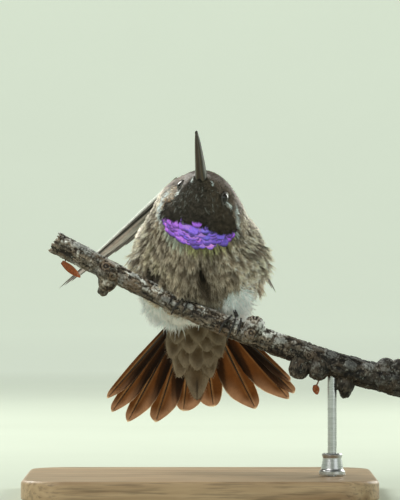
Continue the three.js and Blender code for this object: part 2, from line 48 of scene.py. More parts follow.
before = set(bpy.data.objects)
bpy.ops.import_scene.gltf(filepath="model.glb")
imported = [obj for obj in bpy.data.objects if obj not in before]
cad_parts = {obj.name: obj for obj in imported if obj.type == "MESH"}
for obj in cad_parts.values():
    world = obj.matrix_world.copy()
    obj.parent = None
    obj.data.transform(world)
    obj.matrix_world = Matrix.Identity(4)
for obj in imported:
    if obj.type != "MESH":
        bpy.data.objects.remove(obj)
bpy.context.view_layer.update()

MM = 0.001  # metres in a millimetre
COAT_MAP = "OFBake"
PATCH = 0.003  # width of a feather's patch on the coat's map
BASE_FADE = (0.1, 0.5)  # shares of a feather over which its base's colour turns into its middle's
TIP_FADE = (0.72, 0.98)  # and its middle's into its tip's
STRAND_TINT = 0.34  # how much lighter or darker a strand may be than its feather

# ---- the body's stations
# Middle (x, y, z), half width, height above, depth below and roll in degrees, from tail to bill.
STATIONS = np.array([
    [-0.6, 11.9, 32.9, 4.4, 2.4, 1.9, 0],
    [-0.5, 10.2, 37.4, 8.4, 5.4, 5.6, 0],
    [-0.5, 6.4, 41.6, 12.2, 9.0, 9.4, 0],
    [-0.25, 1.2, 45.2, 13.8, 11.0, 11.4, 0],
    [-0.15, -4.2, 49.2, 13.25, 10.6, 11.5, 4],
    [-0.2, -9.0, 53.2, 10.55, 9.0, 9.9, 9],
    [0.15, -13.2, 56.8, 8.75, 7.4, 8.0, 15],
    [0.6, -17.0, 59.3, 6.55, 5.4, 6.4, 19],
    [0.45, -20.4, 61.0, 4.3, 3.8, 4.1, 19],
    [0.3, -23.2, 62.5, 1.9, 1.7, 1.6, 19],
])
LAST = len(STATIONS) - 1
TAILWARD = 4.5  # length of one station past the ends
BILL_CONE = 1.15  # how fast the body narrows to the bill past its last station
THROAT = 280  # angle of the middle of the throat
EYE = {"radius": 1.5, "station": 7.5, "angle": -2, "sunk": 0.95}
SOCKET = {"depth": 0.75, "stations": 0.75, "degrees": 30}

# Shares along the twig from its broken end, and angles round it: 0 is the front and 90 the top.
TWIG_LINE = np.array([
    [-28.6, -7.0, 50.3], [-20.8, -6.9, 46.3], [-12.4, -7.1, 41.9], [-4.5, -7.3, 37.9], [3.6, -7.3, 34.4],
    [12.2, -7.1, 31.3], [19.8, -6.9, 28.5], [27.5, -7.0, 25.7], [35.6, -7.2, 23.5], [43.5, -7.4, 21.9],
])
TWIG_RADIUS = np.array([2.2, 2.1, 1.9, 1.85, 1.95, 2.15, 2.3, 2.7, 2.9, 3.2])
# Knots: share along, angle, radius and distance of the middle from the twig's line.
KNOTS = np.array([
    [0.148, -30, 2.2, 1.2], [0.158, -78, 1.9, 2.3], [0.158, -100, 1.1, 4.4], [0.529, 66, 2.3, 1.7],
    [0.524, 2, 2.1, 1.1], [0.68, -74, 2.1, 3.3], [0.73, -56, 2.2, 2.2], [0.807, -84, 1.9, 3.1],
    [0.813, -96, 1.2, 4.5], [0.9, 78, 2.1, 2.2], [0.935, 70, 2.1, 2.5],
])


# ---- sums on arrays
def unit(v):
    """Vectors scaled to length one."""
    return v / np.maximum(np.linalg.norm(v, axis=-1, keepdims=True), 1e-12)


def smooth(x, low=0.0, high=1.0):
    """0 below low, 1 above high, and 3t^2 - 2t^3 between."""
    t = np.clip((x - low) / (high - low), 0, 1)
    return t * t * (3 - 2 * t)


def bell(x, at, width, power=2):
    """1 where x is at, and e^-1 at width from it; a power of 4 makes its top flatter."""
    return np.exp(-(((x - at) / width) ** power))


def mix(a, b, share):
    """a where share is 0 and b where it is 1; share has one axis fewer than the colours."""
    share = np.asarray(share)[..., None]
    return np.asarray(a) * (1 - share) + np.asarray(b) * share


def turned(degrees):
    """An angle brought into -180 to 180."""
    return (np.asarray(degrees, float) + 180) % 360 - 180


def spline(points, u):
    """Centripetal Catmull-Rom curve: each span is a cubic whose end slopes come from the neighbouring
    points, weighed by the square roots of their distances. u counts points and may be an array."""
    p = np.vstack([2 * points[0] - points[1], points, 2 * points[-1] - points[-2]])
    u = np.asarray(u, float)
    i = np.clip(np.floor(u).astype(int), 0, len(points) - 2)
    t = (u - i)[..., None]
    a, b, c, d = p[i], p[i + 1], p[i + 2], p[i + 3]

    def step(q, r):
        return np.sqrt(np.maximum(np.linalg.norm(r - q, axis=-1, keepdims=True), 1e-9))

    d0, d1, d2 = step(a, b), step(b, c), step(c, d)
    m1 = ((b - a) / d0 - (c - a) / (d0 + d1) + (c - b) / d1) * d1
    m2 = ((c - b) / d1 - (d - b) / (d1 + d2) + (d - c) / d2) * d1
    return b + m1 * t + (3 * (c - b) - 2 * m1 - m2) * t**2 + (2 * (b - c) + m1 + m2) * t**3


def looked_up(x, at, rows):
    """Rows of a table read at any x, by linear steps between the places that its rows stand at."""
    return np.stack([np.interp(x, at, column) for column in rows.T], -1)


def noise(p, seed=0):
    """Smooth value noise from -1 to 1: hashed lattice values blended along each axis by 3t^2 - 2t^3."""
    cell = np.floor(p).astype(np.int64)
    f = p - cell
    f = f * f * (3 - 2 * f)
    total = np.zeros(p.shape[:-1])
    for corner in product((0, 1), repeat=3):
        c = cell + corner
        h = (c[..., 0] * 73856093) ^ (c[..., 1] * 19349663) ^ (c[..., 2] * 83492791) ^ (seed * 2654435761)
        h = ((h ^ (h >> 13)) * 1274126177) & 0x7FFFFFFF
        value = ((h ^ (h >> 16)) & 0xFFFF) / 0xFFFF
        total += value * np.prod(np.where(corner, f, 1 - f), axis=-1)
    return 2 * total - 1


def layered_noise(p, octaves=4, seed=0):
    """Sum of noise at doubled frequencies and halved strengths."""
    return sum(noise(p * 2**k, seed + k) / 2**k for k in range(octaves))


# ---- the body's form
STEPS = np.linspace(-0.7, LAST + 0.4, 2021)


def section_table():
    """Middle, left, dorsal, sizes and forward direction of the body's sections at STEPS. Left starts level,
    dorsal is forward x left, and both are turned by the section's roll."""
    inside = np.clip(STEPS, 0, LAST)
    forward = unit(spline(STATIONS[:, :3], np.clip(inside + 1e-3, 0, LAST))
                   - spline(STATIONS[:, :3], np.clip(inside - 1e-3, 0, LAST)))
    middle = spline(STATIONS[:, :3], inside) + forward * (STEPS - inside)[:, None] * TAILWARD
    narrow = 1 - BILL_CONE * np.clip(STEPS - LAST, 0, 1)[:, None]
    roll = np.radians(spline(STATIONS[:, 6:] * [1, 0, 0], inside)[:, :1])
    level = unit(np.array([1.0, 0, 0]) - forward * forward[:, :1])
    top = np.cross(forward, level)
    left = level * np.cos(roll) - top * np.sin(roll)
    dorsal = top * np.cos(roll) + level * np.sin(roll)
    return np.hstack([middle, left, dorsal, spline(STATIONS[:, 3:6], inside) * narrow, forward])


SECTIONS = section_table()


def section(station):
    """Rows of SECTIONS at any stations, by linear steps."""
    return looked_up(station, STEPS, SECTIONS)


def body(station, angle, out=0.0):
    """A point on the body: the section's middle plus left x half width x cos and dorsal x height x sin.
    Each size grows by out, and a bell-shaped dent makes the eye's socket."""
    q = section(station)
    r = np.radians(angle)
    aside = turned(np.asarray(angle) - EYE["angle"]) % 180
    aside = np.minimum(aside, 180 - aside) / SOCKET["degrees"]
    ahead = (station - EYE["station"]) / SOCKET["stations"]
    dent = SOCKET["depth"] * np.exp(-(aside**2) - ahead**2)
    x = (q[..., 9] + out - dent) * np.cos(r)
    y = (np.where(np.sin(r) > 0, q[..., 10], q[..., 11]) + out) * np.sin(r)
    return q[..., 0:3] + q[..., 3:6] * x[..., None] + q[..., 6:9] * y[..., None]


def body_axes(station, angle):
    """Unit lie (towards the tail), side (towards greater angles) and outward normal, with the millimetres
    that one station and one degree cover there."""
    along = (body(station - 0.02, angle) - body(station + 0.02, angle)) / 0.04
    across = (body(station, angle + 0.5) - body(station, angle - 0.5))
    lie, side = unit(along), unit(across)
    normal = unit(np.cross(lie, side))
    return lie, side, normal, np.linalg.norm(along, axis=-1), np.linalg.norm(across, axis=-1)


# ---- the twig's form
def twig_axes(along):
    """Middle, forward, front, over and radius of the twig at shares of its length. Over is straight up made
    square to the twig, and front is over x forward, turned to face -Y."""
    u = np.clip(along, 0, 1) * (len(TWIG_LINE) - 1)
    last = len(TWIG_LINE) - 1
    ahead = spline(TWIG_LINE, np.clip(u + 1e-3, 0, last)) - spline(TWIG_LINE, np.clip(u - 1e-3, 0, last))
    forward = unit(ahead)
    over = unit(np.array([0, 0, 1.0]) - forward * forward[..., 2:])
    front = np.cross(over, forward)
    front = front * np.where(front[..., 1:2] > 0, -1, 1)
    radius = spline(TWIG_RADIUS[:, None] * [1.0, 0, 0], u)[..., 0]
    return spline(TWIG_LINE, u), forward, front, over, radius


def twig_point(along, angle, out):
    """The point at a distance from the twig's line, at an angle round it."""
    middle, _, front, over, _ = twig_axes(along)
    a = np.radians(angle)
    return middle + front * (out * np.cos(a))[..., None] + over * (out * np.sin(a))[..., None]


TWIG_SAMPLES = np.linspace(0, 1, 400)
TWIG_TABLE = np.hstack([*(v if v.ndim > 1 else v[:, None] for v in twig_axes(TWIG_SAMPLES))])
KNOT_MIDDLES = twig_point(KNOTS[:, 0], KNOTS[:, 1], KNOTS[:, 3])


def twig_depth(points):
    """How far points lie inside the twig's round stem, in millimetres, and the way straight out of it."""
    q = looked_up(points[..., 0], TWIG_TABLE[:, 0], TWIG_TABLE)
    away = points - q[..., 0:3]
    away = away - q[..., 3:6] * np.sum(away * q[..., 3:6], axis=-1, keepdims=True)
    distance = np.linalg.norm(away, axis=-1)
    return q[..., 12] * 1.04 - distance, unit(away)


def clear_of_twig(points, gap):
    """Points inside the stem or a knot are moved straight out until they are gap clear of it."""
    depth, out = twig_depth(points)
    points = points + out * np.maximum(depth + gap, 0)[..., None]
    for middle, radius in zip(KNOT_MIDDLES, KNOTS[:, 2]):
        away = points - middle
        short = radius + gap - np.linalg.norm(away, axis=-1)
        points = points + unit(away) * np.maximum(short, 0)[..., None]
    return points


# ---- the wings' form
WINGS = {
    "right": {"wrist": [-6.6, -8.0, 60.0], "tip": [-29.2, 21.8, 40.7], "face": [-0.365, 0.3, 0.88]},
    "left": {"wrist": [6.0, -6.4, 57.2], "tip": [15.9, 30.6, 39.7], "face": [0.62, 0.22, 0.75]},
}
WING_WIDTH = 6.8
WING_LAYER = 0.84  # distance between the wing's layers
WING_BOW = 0.022  # how fast the blade falls away from its middle, per millimetre squared
WING_MIDDLE = 2.5


def wing_axes(name):
    """Wrist, and unit directions along to the tip, out of the upper face and back across the blade, and
    the span. Back points to the bird's middle."""
    wing = {key: np.array(value) for key, value in WINGS[name].items()}
    along = unit(wing["tip"] - wing["wrist"])
    face = unit(wing["face"] - along * wing["face"].dot(along))
    back = np.cross(along, face)
    back = -back if back[0] * wing["wrist"][0] > 0 else back
    return wing["wrist"], along, face, back, float(np.linalg.norm(wing["tip"] - wing["wrist"]))


WING_AXES = {name: wing_axes(name) for name in WINGS}


def wing_point(name, along, across, lift):
    """A point of the wing: along the blade, back across it and out of its upper face, which bows down
    with the square of the distance from the blade's middle."""
    wrist, forward, face, back, _ = WING_AXES[name]
    height = lift - WING_BOW * (across - WING_MIDDLE) ** 2
    parts = [wrist, forward * np.asarray(along)[..., None], back * np.asarray(across)[..., None]]
    return sum(parts) + face * np.asarray(height)[..., None]


def clear_of_wings(points, gap):
    """Points under or in a wing's blade are moved straight down out of it until they are gap clear."""
    for wrist, forward, face, back, span in WING_AXES.values():
        p = points - wrist
        along, across, lift = p @ forward, p @ back, p @ face
        share = np.clip(along / span, 0, 1)
        rear = WING_WIDTH * (0.3 + 0.72 * (1 - share**2.2) ** 0.9)
        inside = smooth(along, -1.5, 0.5) * smooth(across, -1.2, 0.2) * (1 - smooth(across - rear, -0.2, 1.2))
        inside = inside * (1 - smooth(along, span - 1, span))
        under = -gap - WING_BOW * (across - WING_MIDDLE) ** 2
        points = points - face * (np.maximum(lift - under, 0) * inside * (lift < 4))[..., None]
    return points


# ---- meshes
def grid_faces(rows, columns, wrap=False):
    """Quads of a grid of points laid row by row; wrap joins the last column to the first."""
    i = np.arange(rows - 1)[:, None] * columns
    j = np.arange(columns if wrap else columns - 1)[None, :]
    k = (j + 1) % columns
    return np.stack([i + j, i + k, i + k + columns, i + j + columns], -1).reshape(-1, 4)


def torus_faces(rows, columns):
    """Quads of a grid whose rows and columns both join up."""
    i, j = np.meshgrid(np.arange(rows), np.arange(columns), indexing="ij")
    n, m = (i + 1) % rows, (j + 1) % columns
    return np.stack([i * columns + j, i * columns + m, n * columns + m, n * columns + j], -1).reshape(-1, 4)


def fan_faces(ring, hub):
    """Triangles from the points of a closed ring to one hub."""
    ring = np.asarray(ring)
    return np.stack([ring, np.roll(ring, -1), np.full(len(ring), hub)], -1)


def flipped(faces):
    """The same faces looking the other way."""
    return [f[:, ::-1] for f in faces]


def oriented(points, faces):
    """The faces turned outwards, told by the sign of the volume that they shut in."""
    volume = 0.0
    for f in faces:
        for k in range(1, f.shape[1] - 1):
            a, b, c = points[f[:, 0]], points[f[:, k]], points[f[:, k + 1]]
            volume += np.sum(a * np.cross(b, c))
    return faces if volume > 0 else flipped(faces)


def tube(rings):
    """Points and outward faces of a closed tube through rings (n, m, 3), with a hub at each end."""
    n, m = rings.shape[:2]
    points = np.vstack([rings.reshape(-1, 3), rings[0].mean(0), rings[-1].mean(0)])
    ends = [fan_faces(np.arange(m)[::-1], n * m), fan_faces(np.arange(m) + (n - 1) * m, n * m + 1)]
    return points, oriented(points, [grid_faces(n, m, wrap=True), *ends])


def ring_path(middle, radius, sides, up=(0, 0, 1.0), squash=1.0):
    """Rings of a round tube along a path: at each point, radius x (across cos - over sin), where across is
    path x up and over is across x path."""
    forward = unit(np.gradient(middle, axis=0))
    across = unit(np.cross(forward, np.broadcast_to(up, forward.shape)))
    over = np.cross(across, forward)
    a = np.linspace(0, 2 * np.pi, sides, endpoint=False)
    radius = np.broadcast_to(radius, len(middle))[:, None, None]
    spoke = across[:, None] * np.cos(a)[:, None] - over[:, None] * np.sin(a)[:, None] * squash
    return middle[:, None] + spoke * radius


def joined(parts):
    """Points, faces and colours of several surfaces as one; each part is (points, faces, colours)."""
    points, faces, colours, start = [], [], [], 0
    for part in parts:
        points.append(part[0])
        faces += [f + start for f in part[1]]
        colours.append(np.broadcast_to(part[2], (len(part[0]), 4)) if len(part) > 2 else None)
        start += len(part[0])
    return np.vstack(points), faces, None if colours[0] is None else np.vstack(colours)


def make_piece(name, points, faces, material, slot=None, replaced=(), colours=None, maps=None):
    """One smooth mesh object from whole arrays. Faces are arrays of (n, 3) or (n, 4) point numbers, colours
    a row of red, green, blue and relief for each point, and maps {name: a place for each point}."""
    faces = [np.asarray(f, np.int64) for f in faces if len(f)]
    corners = np.concatenate([f.ravel() for f in faces]).astype(np.int32)
    sizes = np.concatenate([np.full(len(f), f.shape[1]) for f in faces])
    mesh = bpy.data.meshes.new(name)
    mesh.vertices.add(len(points))
    mesh.vertices.foreach_set("co", (np.asarray(points) * MM).astype(np.float32).ravel())
    mesh.loops.add(len(corners))
    mesh.loops.foreach_set("vertex_index", corners)
    mesh.polygons.add(len(sizes))
    mesh.polygons.foreach_set("loop_start", (np.cumsum(sizes) - sizes).astype(np.int32))
    mesh.polygons.foreach_set("use_smooth", np.ones(len(sizes), bool))
    mesh.update(calc_edges=True)
    for map_name, places in (maps or {}).items():
        layer = mesh.uv_layers.new(name=map_name)
        layer.data.foreach_set("uv", np.asarray(places, np.float32)[corners].ravel())
    if colours is not None:
        layer = mesh.color_attributes.new(name="tone", type="FLOAT_COLOR", domain="POINT")
        layer.data.foreach_set("color", np.asarray(colours, np.float32).ravel())
    piece = bpy.data.objects.new(name, mesh)
    bpy.context.scene.collection.objects.link(piece)
    piece.data.materials.append(material)
    if slot is not None:
        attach(piece, "root")
    if replaced:
        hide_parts(*replaced)
    return piece


def sheet_faces(points, face):
    """Quads of a grid of points, turned so that the first one looks along face."""
    quads = grid_faces(*points.shape[:2])
    normal = np.cross(points[0, 1] - points[0, 0], points[1, 0] - points[0, 0])
    return quads[:, ::-1] if normal.dot(face) < 0 else quads


def carried(shade, relief=0.5):
    """Rows of red, green, blue and relief, from colours on any grid."""
    shade = shade.reshape(-1, 3)
    return np.hstack([shade, np.broadcast_to(np.reshape(relief, (-1, 1)), (len(shade), 1))])


# ---- shader nodes
class Shader:
    """A material whose nodes are added by name; an input may be a number, a colour or another socket."""

    def __init__(self, name):
        self.material = bpy.data.materials.new(name)
        self.material.use_nodes = True
        self.tree = self.material.node_tree
        self.tree.nodes.clear()

    def add(self, kind, inputs=None, **settings):
        made = self.tree.nodes.new("ShaderNode" + kind)
        for key, value in settings.items():
            setattr(made, key, value)
        for key, value in (inputs or {}).items():
            if isinstance(value, bpy.types.NodeSocket):
                self.tree.links.new(value, made.inputs[key])
            else:
                made.inputs[key].default_value = value
        return made

    def place(self):
        return self.add("TexCoord").outputs["Object"]

    def noise(self, scale, detail=3.0, where=None, roughness=0.55, stretch=None):
        """Noise at a scale given per metre, on Object coordinates unless told where."""
        where = where or self.place()
        if stretch:
            where = self.add("Mapping", {"Vector": where, "Scale": stretch}).outputs["Vector"]
        inputs = {"Vector": where, "Scale": scale, "Detail": detail, "Roughness": roughness}
        return self.add("TexNoise", inputs).outputs["Fac"]

    def carried(self, what="Color"):
        """The colour that a piece carries at each point, or with Alpha its relief."""
        return self.add("Attribute", attribute_name="tone").outputs[what]

    def scaled(self, value, times, plus=0.0):
        """A value times a number, plus another."""
        return self.add("Math", {0: value, 1: times, 2: plus}, operation="MULTIPLY_ADD").outputs[0]

    def times(self, colour, *others):
        """Colours multiplied, one after the other."""
        for other in others:
            colour = self.blend("MULTIPLY", 1.0, colour, other)
        return colour

    def ramp(self, value, stops):
        """A colour for each value, from a list of (place, colour); a number stands for a grey."""
        made = self.add("ValToRGB", {"Fac": value})
        points = made.color_ramp.elements
        while len(points) < len(stops):
            points.new(0.5)
        for point, (at, colour) in zip(points, stops):
            colour = (colour,) * 3 if isinstance(colour, (int, float)) else tuple(colour)
            point.position = at
            point.color = (*colour[:3], 1.0)
        return made.outputs["Color"]

    def blend(self, kind, share, a, b):
        """Two colours mixed or multiplied."""
        made = self.add("Mix", {"Factor": share}, data_type="RGBA", blend_type=kind)
        for key, value in ((6, a), (7, b)):
            if isinstance(value, bpy.types.NodeSocket):
                self.tree.links.new(value, made.inputs[key])
            else:
                made.inputs[key].default_value = (*tuple(value)[:3], 1.0)
        return made.outputs[2]

    def bump(self, height, strength, distance):
        """A bump from a height; distance is in millimetres."""
        inputs = {"Height": height, "Strength": strength, "Distance": distance * MM}
        return self.add("Bump", inputs).outputs["Normal"]

    def surface(self, through=None, through_share=0.0, **inputs):
        """Ends the material in a Principled shader, mixed with a translucent one for light let through."""
        names = {key.replace("_", " "): value for key, value in inputs.items()}
        shader = self.add("BsdfPrincipled", names).outputs[0]
        if through is not None:
            thin = self.add("BsdfTranslucent", {"Color": through}).outputs[0]
            shader = self.add("MixShader", {0: through_share, 1: shader, 2: thin}).outputs[0]
        self.add("OutputMaterial", {"Surface": shader})
        return self.material


def rgb(value):
    """Red, green and blue as an array."""
    return np.array(tuple(value)[:3], float)


# ---- the user's sizes and colours
def colour(name, value, description):
    """A colour property in linear light."""
    return FloatVectorProperty(name=name, description=description, default=value, size=3, subtype="COLOR",
                               min=0.0, max=1.0)


def amount(name, value, description):
    """A number property that isn't below nothing."""
    return FloatProperty(name=name, description=description, default=value, min=0.0)


class PlumageSettings(PropertyGroup):
    """Colours and sizes of the coat of feathers."""

    seed: IntProperty(name="Seed", description="Start of the random draws of the feathers", default=7)
    breast: colour("Breast", (0.180, 0.138, 0.101), "Brown-grey of the breast feathers")
    breast_base: colour("Breast base", (0.045, 0.033, 0.025), "Dark bases of the breast feathers")
    breast_tip: colour("Breast tip", (0.455, 0.395, 0.315), "Pale tips of the breast feathers")
    flank: colour("Flank", (0.70, 0.64, 0.51), "Paler tips at the flanks and the sides of the neck")
    olive: colour("Olive", (0.27, 0.27, 0.125), "Yellowish tint below the gorget and at the right side")
    white: colour("White", (0.86, 0.98, 1.0), "Tufts of the vent and the flanks")
    chin: colour("Chin", (0.009, 0.0075, 0.006), "Velvet black of the chin and face")
    chin_tip: colour("Chin tip", (0.060, 0.050, 0.040), "Grey edges of the chin's small feathers")
    crown: colour("Crown", (0.072, 0.053, 0.036), "Dull bronze of the crown and nape")
    back: colour("Back", (0.060, 0.105, 0.035), "Metallic green of the back")
    rust: colour("Rust", (0.42, 0.20, 0.075), "Rusty feathers at the side of the neck")
    gorget: colour("Gorget", (0.27, 0.14, 1.0), "Violet scales of the throat")
    gorget_pink: colour("Gorget pink", (0.48, 0.15, 1.0), "Scales that turn towards pink")
    gorget_blue: colour("Gorget blue", (0.18, 0.15, 1.0), "Scales that turn towards blue")
    gorget_plum: colour("Gorget plum", (0.28, 0.04, 0.50), "Duller scales at the gorget's ends")


# ---- feather shapes
class Feather:
    """A feather's shape, one unit long: x along the shaft, y across and z up out of the coat. Along says how
    far down the feather each point lies and tint is each strand's own shade, from -1 to 1."""

    def __init__(self, parts):
        points, faces, along, tint, start = [], [], [], [], 0
        for part_points, part_faces, part_tint in parts:
            points.append(part_points)
            faces += [f + start for f in part_faces]
            along.append(np.clip(part_points[:, 0], 0, 1))
            tint.append(part_tint)
            start += len(part_points)
        self.points = np.vstack(points)
        self.faces = faces
        self.along = np.concatenate(along)
        self.tint = np.concatenate(tint)


def strands(start, heading, reach, bow, width, rise, tint, segments=3):
    """Flat strands that taper to a point. Each runs from its start (x, y, z) along its heading in degrees,
    bows sideways with the square of the way, and rises or sinks by rise at its tip."""
    q = np.linspace(0, 1, segments + 1)
    h = np.radians(heading)[:, None]
    ahead = np.stack([np.cos(h), np.sin(h), 0 * h], -1)
    aside = np.stack([-np.sin(h), np.cos(h), 0 * h], -1)
    count = len(start)
    reach, bow, width, rise = (np.broadcast_to(v, count)[:, None, None] for v in (reach, bow, width, rise))
    k = q[None, :, None]
    middle = start[:, None] + ahead * reach * k + aside * bow * reach * k**2
    middle = middle + np.array([0, 0, 1.0]) * rise * k**1.5
    half = aside * width / 2 * (1 - k) ** 0.6
    sides = np.stack([middle - half, middle + half], 2)[:, :-1].reshape(count, -1, 3)
    points = np.concatenate([sides, middle[:, -1:]], 1)
    n = points.shape[1]
    quad = np.array([[2 * i, 2 * i + 2, 2 * i + 3, 2 * i + 1] for i in range(segments - 1)])
    first = (np.arange(count) * n)[:, None, None]
    last = np.array([[n - 3, n - 1, n - 2]])
    faces = [(quad + first).reshape(-1, 4), (last + first).reshape(-1, 3)]
    return points.reshape(-1, 3), faces, np.repeat(tint, n)


def plume(rng, barbs=10, spread=32.0, reach=0.40, width=0.022, loose=0.2, leaf=0.12, first=0.26, gather=0.0):
    """A loose body feather: a small dark leaf round the shaft, barbs on both sides that start along the
    shaft, lean out less and less towards its end and bow back to it by gather, and a few at the end."""
    n = 2 * barbs
    side = np.tile([-1.0, 1.0], barbs)
    place = np.repeat(np.linspace(first, 0.84, barbs), 2) + rng.normal(0, 0.025, n)
    heading = side * spread * (1.25 - 0.8 * place) * (1 + rng.normal(0, loose, n))
    long = reach * (1.25 - 0.62 * place) * (1 + rng.normal(0, loose, n))
    start = np.stack([place, side * 0.012, 0.012 * rng.normal(size=n)], -1)
    bow = -side * (rng.uniform(-0.05, 0.3, n) + gather)
    width = width * rng.uniform(0.7, 1.35, n)
    parts = [strands(start, heading, long, bow, width, rng.normal(0, 0.04, n), rng.uniform(-1, 1, n), 2)]
    start = np.stack([rng.uniform(0.66, 0.8, 3), rng.normal(0, 0.02, 3), np.full(3, 0.01)], -1)
    parts.append(strands(start, rng.normal(0, 7, 3), rng.uniform(0.2, 0.32, 3), rng.normal(0, 0.15, 3),
                         width[:3], 0.0, rng.uniform(-0.2, 1, 3), 2))
    parts.append(strands(np.zeros((1, 3)), np.zeros(1), 0.9, 0.03, width[0] * 1.2, 0.0, np.full(1, -0.3), 3))
    if leaf:
        x = np.array([0.02, 0.3, 0.66])[:, None] + 0 * np.arange(3)
        y = np.array([0.03, 1.0, 0.35])[:, None] * leaf * np.array([-1, 0, 1.0])
        z = -0.02 - 0.6 * y**2
        points = np.stack([x, y, z], -1).reshape(-1, 3)
        parts.append((points, flipped([grid_faces(3, 3)]), np.full(9, -0.8)))
    return Feather(parts)


def scale(rng, rows=6, columns=5, half=0.42, blunt=0.6, camber=0.5, fringe=9, fringe_reach=0.16, width=0.05):
    """A flat body feather with a round end: half width x (sin(pi x^0.8))^blunt, arched across, with a
    fringe of short strands round its end."""
    x = np.linspace(0.0, 0.985, rows)[:, None] + 0 * np.arange(columns)
    across = np.linspace(-1, 1, columns)
    outline = half * np.maximum(np.sin(np.pi * np.clip(x, 0.04, 1) ** 0.8), 0.02) ** blunt
    y = outline * across
    z = -camber * y**2 + 0.008 * rng.normal(size=x.shape)
    parts = [(np.stack([x, y, z], -1).reshape(-1, 3), flipped([grid_faces(rows, columns)]),
              np.full(rows * columns, 0.0))]
    if fringe:
        turn = np.linspace(-80, 80, fringe) + rng.normal(0, 4, fringe)
        a = np.radians(turn)
        start = np.stack([0.60 + 0.30 * np.cos(a), half * 0.86 * np.sin(a), 0 * a], -1)
        start[:, 2] = -camber * start[:, 1] ** 2 + 0.006
        parts.append(strands(start, turn * 0.45, fringe_reach * rng.uniform(0.7, 1.3, fringe), 0.0, width,
                             0.0, rng.uniform(-1, 1, fringe), 2))
    return Feather(parts)


# ---- the coat
def side_of(a):
    """Degrees from the middle of the throat, the bird's left being positive."""
    return turned(a - THROAT)


def throat_band(v):
    """Stations of the gorget's lower and upper edges at v degrees from the throat's middle. The lower edge
    rises with the fourth power of v, and the upper one is a bell, wider on the bird's right."""
    low = 5.71 + np.where(v < 0, 0.18, 0.32) * np.abs(v / 56) ** 4
    high = 6.05 + 0.93 * bell(v, -4, np.where(v < -4, 44, 38))
    return low, high


def in_gorget(s, v):
    """True on the gorget."""
    low, high = throat_band(v)
    return (s > low) & (s < high) & (v > -62) & (v < 58)


def in_mask(s, v):
    """True on the black of the chin and face, above the gorget."""
    _, high = throat_band(v)
    edge = 60 + 10 * smooth(s, 6.2, 7.1) + 5 * smooth(s, 7.6, 8.6) + 1.5 * np.sin(s * 11)
    return (s > np.maximum(high, 6.12)) & (np.abs(v + 1) < edge)


def spot(s, v, at, size):
    """A bell in stations and degrees: 1 in its middle and nearly 0 beyond twice its size."""
    return np.exp(-(((s - at[0]) / size[0]) ** 2) - ((v - at[1]) / size[1]) ** 2)


def parting(s, v):
    """Where the breast's feathers part: a narrow gap in the middle and a wider hollow at the bird's right."""
    return spot(s, v, (4.46, -1), (0.32, 3.4)), spot(s, v, (4.44, -51), (0.36, 11))


def tuft(s, v):
    """Where a root lies in its tuft: from -1 to 1 across it, and from 0 at its lower end to 1. The tufts are
    staggered cells of 0.45 station by 7.2 degrees, with borders bent by noise."""
    place = np.stack([s * 1.3, v / 17, 0 * s], -1)
    row = s / 0.45 + 0.8 * noise(place, 21)
    cell = v / 7.2 + 0.5 * (np.floor(row) % 2) + 0.8 * noise(place + 5.3, 22)
    return 2 * (cell - np.floor(cell)) - 1, row - np.floor(row)


def is_white(s, v):
    """How white the belly's feathers are by their roots: below a line that falls at both flanks."""
    edge = 4.05 - 1.05 * smooth(-v, 10, 28) - 0.35 * smooth(-v, 62, 80) - 1.9 * smooth(v, 30, 41)
    edge = edge - 0.75 * bell(v, 1, 13)
    edge = edge + 0.12 * bell(v, 22, 9)
    ragged = 0.2 * noise(np.stack([s * 3, v / 9, 0 * s], -1), 13)
    return (1 - smooth(s + ragged, edge - 0.2, edge + 0.12)) * (1 - smooth(np.abs(v), 112, 135))


CHIN_HANG = 0.28  # stations by which the chin's feathers stand back from the gorget's upper edge
# Depth of the coat over the skin in millimetres, at stations.
COAT_DEPTH = {"at": [-0.7, 0.5, 1.5, 3.0, 4.4, 5.2, 6.0, 7.0, 8.0, 8.7, 9.2],
              "belly": [0.7, 1.0, 1.5, 1.6, 1.5, 1.1, 0.65, 0.42, 0.34, 0.2, 0.12],
              "back": [0.6, 0.8, 1.0, 1.0, 1.0, 0.9, 0.6, 0.42, 0.34, 0.2, 0.12]}


def coat_depth(s, a):
    """Depth of the coat over the skin: read off the stations, and blended from the back to the belly."""
    below = smooth(np.cos(np.radians(turned(a - 270))), -0.4, 0.5)
    belly, back = (np.interp(s, COAT_DEPTH["at"], COAT_DEPTH[side]) for side in ("belly", "back"))
    return back * (1 - below) + belly * below


